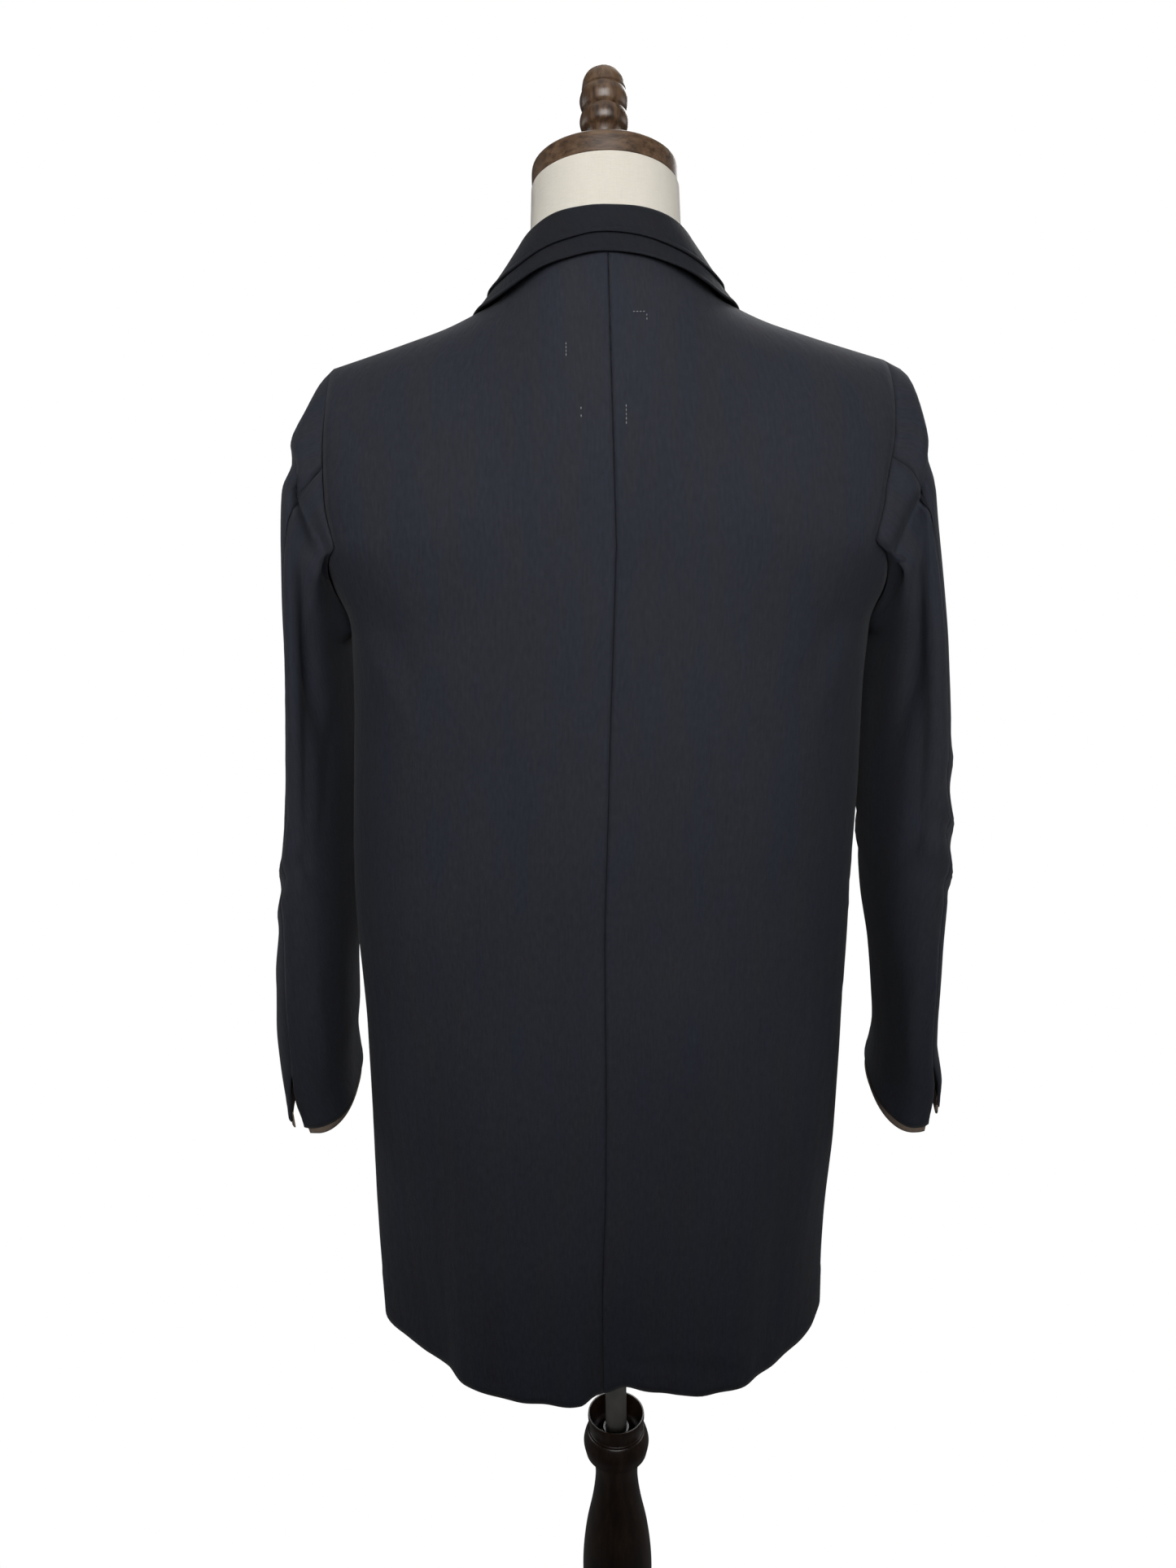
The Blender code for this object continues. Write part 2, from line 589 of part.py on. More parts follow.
def sleeve_rows(cap_rows, arm_rows, vent_rows):
    cap = [CAP_BLEND_S * 1.4 * k / cap_rows for k in range(cap_rows)]
    arm = list(np.linspace(CAP_BLEND_S * 1.4, VENT_S, arm_rows + 1))
    vent = list(np.linspace(VENT_S, 1.0, vent_rows + 1))[1:]
    return cap + arm + vent


def sleeve_panels(side, cap_rows, arm_rows, vent_rows):
    """Grids of the top and the under sleeve."""
    grids = []
    for is_top in (True, False):
        grid = [[sleeve_panel_point(side, s, angle, is_top) for angle in sleeve_angles(is_top, s)]
                for s in sleeve_rows(cap_rows, arm_rows, vent_rows)]
        start_at_seam(grid, side, is_top)
        grids.append(grid)
    top, under = grids
    part_seam(top, -1, -2, under, 0, 1)
    part_seam(top, 0, 1, under, -1, -2)
    return grids


def square_to(vector, line):
    """The part of a vector that is square to a unit line."""
    return vector - line * vector.dot(line)


def part_seam(first, edge_a, next_a, second, edge_b, next_b):
    """Sets two panels a gap apart at their seam, more where the cloth turns sharply there."""
    seam = [(a[edge_a] + b[edge_b]) / 2 for a, b in zip(first, second)]
    apart = [np.linalg.norm(a[edge_a] - b[edge_b]) for a, b in zip(first, second)]
    for k, (a, b) in enumerate(zip(first, second)):
        if apart[k] > SEAM_OPEN:
            continue
        line = unit(seam[min(k + 1, len(seam) - 1)] - seam[max(k - 1, 0)])
        ways = [row[near] - seam[k] for row, near in ((a, next_a), (b, next_b))]
        one, other = (unit(square_to(way, line)) for way in ways)
        straight = -one.dot(other)
        mitre = math.sqrt(max(1 - straight, 0.0) / max(1 + straight, 0.05))
        inset = SEAM_GAP / 2 + 0.0001 + WALL / 2 * min(1.1 * mitre, 4.0)
        for row, edge, way in ((a, edge_a, ways[0]), (b, edge_b, ways[1])):
            width = np.linalg.norm(square_to(way, line))
            row[edge] = seam[k] + way * min(inset / max(width, 1e-6), 0.45)


def panel_direction(side, face, share):
    """Direction in which a body panel runs out to the armhole."""
    def run(at):
        return unit(armhole_curve(side, face, at) - armhole_curve(side, face, at, 0.004))
    to_side = smooth_step(ARMHOLE_SPLIT - 0.10, ARMHOLE_SPLIT + 0.12, share)
    over = run(min(share, ARMHOLE_SPLIT))
    beside = run(max(share, ARMHOLE_SPLIT + 0.001))
    return unit(over * (1 - to_side) + beside * to_side)


def start_at_seam(grid, side, is_top):
    """Sets the first ring a seam's gap off the body, more where it leaves the body at an angle."""
    for k, angle in enumerate(sleeve_angles(is_top, 0.0)):
        wrapped = angle % 360.0
        face = BACK if wrapped <= 180.0 else FRONT
        share = wrapped / 180.0 if face == BACK else (360.0 - wrapped) / 180.0
        edge = armhole_curve(side, face, share)
        line = unit(armhole_curve(side, face, min(share + 0.02, 1.0))
                    - armhole_curve(side, face, max(share - 0.02, 0.0)))
        inside = unit(square_to(panel_direction(side, face, share), line))
        leave = unit(square_to(grid[1][k] - edge, line))
        across = unit(leave - inside * np.dot(inside, leave))
        doubled = max(-np.dot(inside, leave), 0.0)
        off = 2 * SEAM_GAP + WALL * 0.62 * np.linalg.norm(np.cross(inside, leave))
        grid[0][k] = edge + leave * off + across * doubled * (WALL + 0.0020)


def unit(vector):
    return vector / max(np.linalg.norm(vector), 1e-9)


def trim_strip(side):
    """Brown cuff facing: a strip tucked inside the cuff that shows below its edge, vent to vent."""
    inset = WALL / 2 + TRIM_WALL / 2 + SEAM_GAP
    edge = []
    for is_top in (True, False):
        angles = sleeve_angles(is_top, 1.0)
        points = [(sleeve_panel_point(side, 1.0, a, is_top), sleeve_panel_point(side, 0.97, a, is_top))
                  for a in angles]
        if is_top:
            top = list(reversed(points))
        else:
            under = list(reversed(points))[:-1]
    edge = top[:-1] + [tuple((a + b) / 2 for a, b in zip(top[-1], under[0]))] + under[1:]
    centre = np.mean([low for low, _ in edge], axis=0)
    rows = ([], [], [])
    for k, (low, above) in enumerate(edge):
        down = unit(low - above)
        along = unit(edge[min(k + 1, len(edge) - 1)][0] - edge[max(k - 1, 0)][0])
        inward = np.cross(along, down)
        if inward.dot(centre - low) < 0:
            inward = -inward
        inward = unit(inward - down * inward.dot(down))
        for row, drop in zip(rows, (-TRIM_TUCK, 0.0, TRIM_SHOW)):
            row.append(low + inward * inset + down * drop)
    return [list(row) for row in rows]


def front_surface(side, out_x, z):
    """Point of the front panel at a given level, and its outward normal."""
    def at(x, level):
        if level <= BLADE_Z:
            point = main_point(side if x >= 0 else -side, FRONT, abs(x), level)
            point[2] = level
            return point
        z_top = top_point(FRONT, x)[1]
        sine = min((level - BLADE_Z) / (z_top - BLADE_Z), 1.0)
        return arch_point(side, FRONT, x, math.asin(sine))
    step = 0.002
    point = at(out_x, z)
    across, along = at(out_x + step, z) - point, at(out_x, z + step) - point
    normal = np.cross(across, along)
    if normal[1] > 0:
        normal = -normal
    return point, normal / np.linalg.norm(normal)


def lapel_grid(side, rows, columns):
    """Turned-back facing: starts inside the front edge, goes round the roll line and lies outside."""
    grid = []
    lap = side * LAP_STEP / 2
    for r in range(rows + 1):
        t = r / rows
        z = table_curve(LAPEL, LAPEL_COLUMNS, "z", t)
        width = table_curve(LAPEL, LAPEL_COLUMNS, "width", t)
        x = roll_x(z)
        slope = (roll_x(z + 0.004) - roll_x(z - 0.004)) / 0.008
        out = np.array([1.0, -slope]) / math.hypot(1.0, slope)
        row = []
        inner, normal = front_surface(side, x + min(LAPEL_TURN, 0.6 * width + 0.002), z)
        row.append(inner - normal * LAPEL_UNDER)
        edge, normal = front_surface(side, x, z)
        away = np.array([-side * out[0], 0.0, -out[1]])
        for reach, rise in LAPEL_ROLL:
            row.append(edge + away * reach + normal * rise)
        for c in range(1, columns + 1):
            reach = width * c / columns
            lift = LAPEL_LIFT + 0.0022 * math.sin(math.pi * min(c / columns, 1.0)) - 0.0010 * c / columns
            base, normal = front_surface(side, x + reach * out[0], z + reach * out[1])
            row.append(base + normal * lift)
        for point in row:
            share = 1 - smooth_step(LAP, 0.075, side * point[0])
            point[1] -= lap * share
        grid.append(row)
    return grid


def collar_value(name, t):
    return table_curve(COLLAR, COLLAR_COLUMNS, name, t)


MIRROR = {LEFT: np.array([1.0, 1.0, 1.0]), RIGHT: np.array([-1.0, 1.0, 1.0])}


def surface_point(side, face, out_x, turn):
    """Point of the panel over the blades and its outward normal."""
    point = arch_point(side, face, out_x, turn)
    across = arch_point(side, face, out_x + 0.002, turn) - point
    along = point - arch_point(side, face, out_x, turn - 0.02)
    normal = np.cross(across, along)
    if normal.dot([0.0, face, 0.2]) < 0:
        normal = -normal
    return point, normal / np.linalg.norm(normal)


def laid_on_body(side, target, lift):
    """The place nearest to a target that lies a set height over one side's panels, and the normal
    there. Both are given as for the left side."""
    found = None
    for face in (BACK, FRONT):
        out_x, turn, span_x, span_turn = 0.09, 0.9, 0.09, 0.67
        for _ in range(6):
            tries = []
            for i in range(-3, 4):
                for j in range(-3, 4):
                    x = min(max(out_x + span_x * i / 3, 0.0), 0.2)
                    a = min(max(turn + span_turn * j / 3, 0.05), math.pi / 2)
                    away = arch_point(side, face, x, a) * MIRROR[side] - target
                    tries.append((float(np.linalg.norm(away)), x, a))
            best = min(tries)
            out_x, turn = best[1], best[2]
            span_x, span_turn = span_x * 0.45, span_turn * 0.45
        if found is None or best[0] < found[0]:
            found = (best[0], face, out_x, turn)
    point, normal = surface_point(side, *found[1:])
    return (point + normal * lift) * MIRROR[side], normal * MIRROR[side]


def neckline_point(side, t):
    """Foot of the collar's stand: the neckline behind, then the roll line of the front."""
    if t <= 0.56:
        x = NECK_X * math.sin(math.pi / 2 * t / 0.56)
        return arch_point(side, BACK, x, math.pi / 2) * MIRROR[side]
    z = 1.4755 + (1.4320 - 1.4755) * ((t - 0.56) / 0.44) ** 1.85
    return front_surface(side, roll_x(z), z)[0] * MIRROR[side]


def kept_off_body(side, point):
    """Moves a point of the fall out until it clears the panel under it."""
    base, normal = laid_on_body(side, point, 0.0)
    away = point - base
    height = away.dot(normal)
    if height >= LOWER_LIFT or np.linalg.norm(away - normal * height) > LOWER_LIFT:
        return point
    return point + normal * (LOWER_LIFT - height)


def collar_row(t, is_upper, leaf_columns, fold_columns):
    """One folded section of a collar at t: from the foot of the stand, over the roll, to the edge."""
    side, t = (1, t) if t >= 0 else (-1, -t)
    roll = np.array([collar_value("roll_" + a, t) for a in "xyz"])
    target = np.array([collar_value("edge_" + a, t) for a in "xyz"])
    edge, normal = laid_on_body(side, target, LOWER_LIFT)
    foot = neckline_point(side, t)
    fall = unit(edge - roll)
    outward = unit(normal - fall * normal.dot(fall))
    layer = COLLAR_WALL + 2 * SEAM_GAP
    centre = roll + fall * FOLD_RADIUS
    leaf_in = centre - outward * FOLD_RADIUS
    tuck = smooth_step(0.66, 0.84, t)
    up = unit(leaf_in - foot) * (WALL + 4 * SEAM_GAP)
    stand = foot + up * (1 - tuck) - outward * (WALL + 2 * SEAM_GAP + layer) * tuck - leaf_in
    leaf_low = centre + outward * (FOLD_RADIUS - layer)
    lower = []
    for k in range(LEAF_STEPS + 1):
        share = k / LEAF_STEPS
        point = leaf_low + (edge - leaf_low) * share + outward * LEAF_BOW * math.sin(math.pi * share)
        lower.append(kept_off_body(side, point) if k else point)
    radius = FOLD_RADIUS if is_upper else FOLD_RADIUS - layer
    row = []
    for share in (1.0, 0.5):
        point = leaf_in + stand * share * (1.0 if is_upper else LOWER_STAND * (1 - 0.6 * tuck))
        row.append(point if is_upper else point + outward * layer)
    for k in range(fold_columns + 1):
        turn = math.pi * k / fold_columns
        row.append(centre - outward * radius * math.cos(turn) - fall * radius * math.sin(turn))
    for k in range(1, leaf_columns + 1):
        along = k / leaf_columns * (collar_value("upper_share", t) if is_upper else 1.0) * LEAF_STEPS
        step = min(int(along), LEAF_STEPS - 1)
        point = lower[step] + (lower[step + 1] - lower[step]) * (along - step)
        row.append(point + outward * layer if is_upper else point)
    for point in row:
        point[0] *= side
    return row


def collar_grid(is_upper, stations, leaf_columns, fold_columns):
    return [collar_row(t, is_upper, leaf_columns, fold_columns)
            for t in np.linspace(-1.0, 1.0, 2 * stations + 1)]


def new_collection(name):
    collection = bpy.data.collections.new(name)
    bpy.context.scene.collection.children.link(collection)
    return collection


def make_material(name, colour, roughness, metallic=0.0):
    material = bpy.data.materials.new(name)
    material.use_nodes = True
    shader = material.node_tree.nodes["Principled BSDF"]
    shader.inputs["Base Color"].default_value = (*colour, 1.0)
    shader.inputs["Roughness"].default_value = roughness
    shader.inputs["Metallic"].default_value = metallic
    return material


def add_object(collection, name, mesh, material):
    mesh.materials.append(material)
    piece = bpy.data.objects.new(name, mesh)
    collection.objects.link(piece)
    return piece


def sheet_mesh(name, grid):
    """Open quad surface over a grid that may have empty cells."""
    mesh = bmesh.new()
    points = [[None if p is None else mesh.verts.new(p) for p in row] for row in grid]
    for low, high in zip(points, points[1:]):
        for k in range(len(low) - 1):
            corners = [low[k], low[k + 1], high[k + 1], high[k]]
            if all(corner is not None for corner in corners):
                mesh.faces.new(corners)
    bmesh.ops.recalc_face_normals(mesh, faces=mesh.faces)
    data = bpy.data.meshes.new(name)
    mesh.to_mesh(data)
    mesh.free()
    data.shade_smooth()
    return data


def add_sheet(collection, name, grid, wall, material):
    piece = add_object(collection, name, sheet_mesh(name, grid), material)
    solid = piece.modifiers.new("wall", "SOLIDIFY")
    solid.thickness = wall
    solid.offset = 0.0
    solid.use_even_offset = True
    return piece


def add_turned(collection, name, profile, segments, material):
    """Profile of (radius, height) points, top to bottom, turned about Z."""
    data = bpy.data.meshes.new(name)
    data.from_pydata([(r, 0.0, z) for r, z in profile],
                     [(k, k + 1) for k in range(len(profile) - 1)], [])
    piece = add_object(collection, name, data, material)
    screw = piece.modifiers.new("turn", "SCREW")
    screw.steps = screw.render_steps = segments
    screw.use_merge_vertices = True
    screw.merge_threshold = 0.00001
    screw.use_smooth_shade = True
    return piece


def superellipse(half_width, half_depth, power, turn):
    c, s = math.cos(turn), math.sin(turn)
    return (half_width * math.copysign(abs(c) ** (2 / power), c),
            half_depth * math.copysign(abs(s) ** (2 / power), s))


def add_form(collection, material, levels, segments):
    """Linen body and neck: rings lofted from the table and closed at both ends."""
    mesh = bmesh.new()
    rings = []
    for z in levels:
        value = {n: table_curve(FORM, FORM_COLUMNS, n, z) for n in FORM_COLUMNS[1:]}
        ring = []
        for k in range(segments):
            x, y = superellipse(value["half_width"], value["half_depth"], value["power"],
                                2 * math.pi * k / segments)
            ring.append(mesh.verts.new((x, value["centre_y"] + y, z + value["tilt"] * y)))
        rings.append(ring)
    for low, high in zip(rings, rings[1:]):
        for k in range(segments):
            following = (k + 1) % segments
            mesh.faces.new((low[k], low[following], high[following], high[k]))
    mesh.faces.new(list(reversed(rings[0])))
    mesh.faces.new(rings[-1])
    data = bpy.data.meshes.new("form_torso")
    mesh.to_mesh(data)
    mesh.free()
    data.shade_smooth()
    return add_object(collection, "form_torso", data, material)


def form_levels():
    return [row[0] for row in FORM]


def add_neck_cap(collection, wood):
    profile = [
        (0.0, CAP_HEIGHT), (CAP_RADIUS - 0.0045, CAP_HEIGHT), (CAP_RADIUS - 0.0012, CAP_HEIGHT - 0.0018),
        (CAP_RADIUS, CAP_HEIGHT - 0.0050), (CAP_RADIUS, 0.0015), (CAP_RADIUS - 0.0015, 0.0), (0.0, 0.0),
    ]
    cap = add_turned(collection, "neck_cap", profile, 28, wood)
    place_on_neck(cap, FIT)
    return cap


def place_on_neck(piece, height):
    """Sets a turned piece on the tilted neck, height along the neck's own axis."""
    piece.rotation_euler.x = NECK_TILT
    up = (0.0, -math.sin(NECK_TILT), math.cos(NECK_TILT))
    piece.location = [c + height * a for c, a in zip(NECK_TOP, up)]


def add_stand(collection, wood, metal):
    add_turned(collection, "stand_column", COLUMN, 20, wood)
    add_turned(collection, "stand_base", BASE, 32, wood)
    plate_z = FORM[0][0] - FIT - PLATE_HEIGHT
    hole = POLE_RADIUS + 0.0004
    add_turned(collection, "base_plate", [
        (hole, plate_z + PLATE_HEIGHT), (PLATE_RADIUS, plate_z + PLATE_HEIGHT),
        (PLATE_RADIUS, plate_z), (hole, plate_z), (hole, plate_z + PLATE_HEIGHT),
    ], 20, wood)
    low, high = SOCKET_FLOOR + FIT, FORM[0][0] - FIT
    add_turned(collection, "pole", [
        (0.0, high), (POLE_RADIUS, high), (POLE_RADIUS, low), (0.0, low),
    ], 20, metal)


def add_buttons(collection, material):
    """Buttons on the centre front line, each square to the left front."""
    for number, z in enumerate(BUTTON_LEVELS, start=1):
        point, normal = front_surface(LEFT, 0.0, z)
        point[1] -= LAP_STEP / 2
        button = add_turned(collection, f"button_{number}", BUTTON_PROFILE, 12, material)
        button.location = point + normal * (WALL / 2 + 2 * FIT)
        button.rotation_euler.x = math.pi / 2 + math.atan2(normal[2], -normal[1])


def add_coat(collection, cloth, trim):
    for side, word in ((LEFT, "left"), (RIGHT, "right")):
        back = body_panel(side, BACK, 11, BACK_ARCH_ROWS, 10, SIDE_STRIPS)
        front = body_panel(side, FRONT, 11, FRONT_ARCH_ROWS, 8, SIDE_STRIPS)
        add_sheet(collection, f"back_{word}", back, WALL, cloth)
        add_sheet(collection, f"front_{word}", front, WALL, cloth)
        add_sheet(collection, f"lapel_{word}", lapel_grid(side, 8, 4), COLLAR_WALL, cloth)
        top, under = sleeve_panels(side, 3, 9, 3)
        add_sheet(collection, f"top_sleeve_{word}", top, WALL, cloth)
        add_sheet(collection, f"under_sleeve_{word}", under, WALL, cloth)
        add_sheet(collection, f"cuff_trim_{word}", trim_strip(side), TRIM_WALL, trim)
    add_sheet(collection, "collar_upper", collar_grid(True, 9, 3, 4), COLLAR_WALL, cloth)
    add_sheet(collection, "collar_lower", collar_grid(False, 9, 4, 4), COLLAR_WALL, cloth)


def main():
    for old in list(bpy.data.objects):
        bpy.data.objects.remove(old)
    collection = new_collection("coat_on_dress_form")
    cloth = make_material("navy wool", (0.018, 0.020, 0.027), 0.85)
    trim = make_material("brown facing", (0.075, 0.058, 0.045), 0.80)
    linen = make_material("cream linen", (0.62, 0.58, 0.50), 0.90)
    cap_wood = make_material("brown wood", (0.085, 0.050, 0.030), 0.45)
    stand_wood = make_material("dark wood", (0.022, 0.011, 0.008), 0.35)
    metal = make_material("brushed steel", (0.45, 0.44, 0.41), 0.35, 1.0)
    horn = make_material("black horn", (0.015, 0.013, 0.012), 0.35)
    add_coat(collection, cloth, trim)
    add_buttons(collection, horn)
    add_form(collection, linen, form_levels(), 28)
    add_neck_cap(collection, cap_wood)
    finial = add_turned(collection, "finial", FINIAL, 18, cap_wood)
    place_on_neck(finial, CAP_HEIGHT + 2 * FIT)
    add_stand(collection, stand_wood, metal)


main()
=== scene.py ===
"""Looks of a long single-breasted coat on a limbless dress form with a turned stand.

Metres, +Z up. The coat's front faces -Y, so the wearer's left side is +X. Each cloth piece is worked
out from the coat's own tables at a fine pitch, with its creases, seams and hems laid in as soft
troughs and ridges, and stands for the frame's node of the same name.
"""

import math

import bmesh
import bpy
import numpy as np
from mathutils import Matrix, Vector, noise
from mathutils.bvhtree import BVHTree

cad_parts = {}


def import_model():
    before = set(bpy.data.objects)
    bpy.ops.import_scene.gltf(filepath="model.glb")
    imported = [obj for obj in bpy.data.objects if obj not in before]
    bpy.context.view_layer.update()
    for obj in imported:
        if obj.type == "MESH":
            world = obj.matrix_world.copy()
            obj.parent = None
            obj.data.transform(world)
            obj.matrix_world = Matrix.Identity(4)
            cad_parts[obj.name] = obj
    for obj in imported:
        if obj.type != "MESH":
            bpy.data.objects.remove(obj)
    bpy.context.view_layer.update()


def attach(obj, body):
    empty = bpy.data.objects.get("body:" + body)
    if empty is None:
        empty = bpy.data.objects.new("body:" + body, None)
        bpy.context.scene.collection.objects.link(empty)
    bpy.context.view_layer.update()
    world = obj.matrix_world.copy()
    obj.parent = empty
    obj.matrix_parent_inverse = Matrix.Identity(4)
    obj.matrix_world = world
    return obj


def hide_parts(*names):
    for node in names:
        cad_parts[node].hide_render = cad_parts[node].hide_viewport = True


LEFT, RIGHT = 1, -1
SIDE_WORD = {LEFT: "left", RIGHT: "right"}

# Cloth
WALL = 0.0014
COLLAR_WALL = 0.0014
TRIM_WALL = 0.0010
SEAM_GAP = 0.0002
HEM_Z = 0.607
HEM_DRAWN_Z = 0.74

# Coat body: one row for each level. half_width is the true half width up to the underarm, and
# above it the width of the section that the armhole cuts off.
BODY_COLUMNS = ("z", "centre_x", "half_width", "back", "front", "power")
BODY = np.array([
    (0.607, 0.0131, 0.2003, 0.1190, 0.1330, 1.90),
    (0.700, 0.0127, 0.2007, 0.1190, 0.1310, 1.95),
    (0.800, 0.0091, 0.2021, 0.1170, 0.1280, 2.00),
    (0.900, 0.0078, 0.2022, 0.1150, 0.1250, 2.05),
    (1.000, 0.0077, 0.2040, 0.1130, 0.1220, 2.10),
    (1.100, 0.0045, 0.2030, 0.1140, 0.1220, 2.15),
    (1.200, 0.0010, 0.2000, 0.1160, 0.1210, 2.25),
    (1.235, -0.0005, 0.2000, 0.1165, 0.1200, 2.30),
    (1.270, -0.0018, 0.2140, 0.1165, 0.1185, 2.40),
    (1.300, -0.0030, 0.2320, 0.1160, 0.1160, 2.50),
])
UNDERARM_Z = 1.235
BLADE_Z = 1.300

# Shoulder line and back neckline, out from the centre back.
TOP_COLUMNS = ("x", "y", "z")
TOP = np.array([
    (0.000, 0.0600, 1.5020),
    (0.030, 0.0548, 1.4990),
    (0.055, 0.0401, 1.4915),
    (0.068, 0.0237, 1.4830),
    (0.074, 0.0000, 1.4755),
    (0.093, -0.0020, 1.4650),
    (0.120, -0.0035, 1.4530),
    (0.150, -0.0045, 1.4425),
    (0.180, -0.0055, 1.4335),
    (0.208, -0.0060, 1.4255),
])
NECK_X = 0.074
NECK_Z = 1.4755
TIP_X = 0.208
NAPE_ARCH = 52.0
NECK_COLUMNS = 25

# Armhole: how far out the panels reach at each level above the blades, and how much less on the
# right side, where the seam lies further in.
ARMHOLE_COLUMNS = ("z", "back_x", "front_x", "right_in")
ARMHOLE = np.array([
    (1.300, 0.1985, 0.1900, 0.0165),
    (1.330, 0.2050, 0.1945, 0.0160),
    (1.370, 0.2060, 0.2000, 0.0080),
    (1.400, 0.2050, 0.2035, 0.0040),
    (1.4255, 0.2055, 0.2055, 0.0035),
])
ARMHOLE_SPLIT = 0.62
SIDE_COLUMNS = ("z", "main_x")
SIDE_START = np.array([
    (0.607, 0.160),
    (1.000, 0.162),
    (1.150, 0.168),
    (1.235, 0.182),
    (1.300, 0.1985),
])

# Soft folds of the skirt at the hem: angle from the centre back (left side 90), depth out (+) or
# in (-), how much the hem is drawn up, and the level where each fold has faded out.
FOLD_COLUMNS = ("angle", "depth", "rise", "fade_z")
FOLDS = np.array([
    (-180.0, 0.0000, 0.000, 0.90),
    (-146.0, -0.0045, 0.000, 0.95),
    (-118.0, 0.0045, 0.000, 1.00),
    (-93.0, 0.0015, 0.000, 1.00),
    (-76.0, -0.0036, 0.000, 1.00),
    (-62.0, 0.0005, 0.000, 0.98),
    (-50.0, 0.0085, 0.000, 0.98),
    (-38.0, 0.0065, 0.000, 0.95),
    (-30.0, 0.0008, 0.000, 0.90),
    (-22.0, -0.0040, 0.002, 0.85),
    (-8.0, -0.0100, 0.005, 0.80),
    (2.0, -0.0045, 0.004, 0.82),
    (9.0, 0.0040, 0.000, 0.90),
    (20.0, 0.0060, 0.000, 0.95),
    (36.0, 0.0065, 0.000, 1.00),
    (50.0, 0.0030, 0.000, 1.05),
    (59.0, -0.0085, 0.000, 1.08),
    (66.0, -0.0135, 0.000, 1.08),
    (76.0, -0.0105, 0.000, 1.05),
    (88.0, -0.0020, 0.000, 1.00),
    (100.0, 0.0065, 0.000, 0.95),
    (120.0, 0.0045, 0.000, 1.00),
    (146.0, -0.0045, 0.000, 0.95),
    (180.0, 0.0000, 0.000, 0.90),
])
FOLD_SHAPE = 1.3

# Front opening
LAP = 0.018
LAP_STEP = 0.0024
LAP_OUT_X = 0.075
BREAK_Z = 1.205
LAP_TOP_Z = BREAK_Z + 0.005
ROLL_COLUMNS = ("z", "x")
ROLL = np.array([
    (1.205, -0.018),
    (1.240, -0.005),
    (1.290, 0.014),
    (1.350, 0.037),
    (1.400, 0.055),
    (1.440, 0.068),
    (1.4755, 0.074),
])
LAPEL_COLUMNS = ("t", "z", "width")
LAPEL = np.array([
    (0.00, 1.266, 0.005),
    (0.20, 1.296, 0.024),
    (0.45, 1.338, 0.045),
    (0.75, 1.388, 0.060),
    (1.00, 1.4285, 0.064),
])
LAPEL_LIFT = 0.0046
LAPEL_UNDER = 0.0030
LAPEL_TURN = 0.010
LAPEL_ROLL = ((0.0, -0.0030), (0.0027, -0.0016), (0.0034, 0.0010), (0.0016, 0.0040))

# Collar: the roll edge, the foot of its stand along the neckline and the edge of the lower fall,
# from the centre back to the gorge. The edge is then laid on the body.
COLLAR_COLUMNS = ("t", "roll_x", "roll_y", "roll_z", "edge_x", "edge_y", "edge_z", "upper_share")
COLLAR = np.array([
    (0.00, 0.0000, 0.0645, 1.5215, 0.0000, 0.0690, 1.4940, 0.52),
    (0.18, 0.0270, 0.0585, 1.5200, 0.0340, 0.0660, 1.4853, 0.62),
    (0.36, 0.0475, 0.0395, 1.5130, 0.0665, 0.0555, 1.4690, 0.70),
    (0.54, 0.0605, 0.0110, 1.4985, 0.0900, 0.0190, 1.4650, 0.65),
    (0.70, 0.0655, -0.0220, 1.4830, 0.1000, -0.0240, 1.4560, 0.56),
    (0.86, 0.0645, -0.0550, 1.4610, 0.1080, -0.0500, 1.4410, 0.52),
    (1.00, 0.0580, -0.0790, 1.4350, 0.1050, -0.0700, 1.4300, 0.52),
])
FOLD_RADIUS = 0.0045
LEAF_STEPS = 8
LOWER_STAND = 0.55
LOWER_LIFT = 0.0034
LEAF_BOW = 0.0008
GORGE_Z = 1.4320
NECKLINE_T = 0.56
NECKLINE_POWER = 1.85

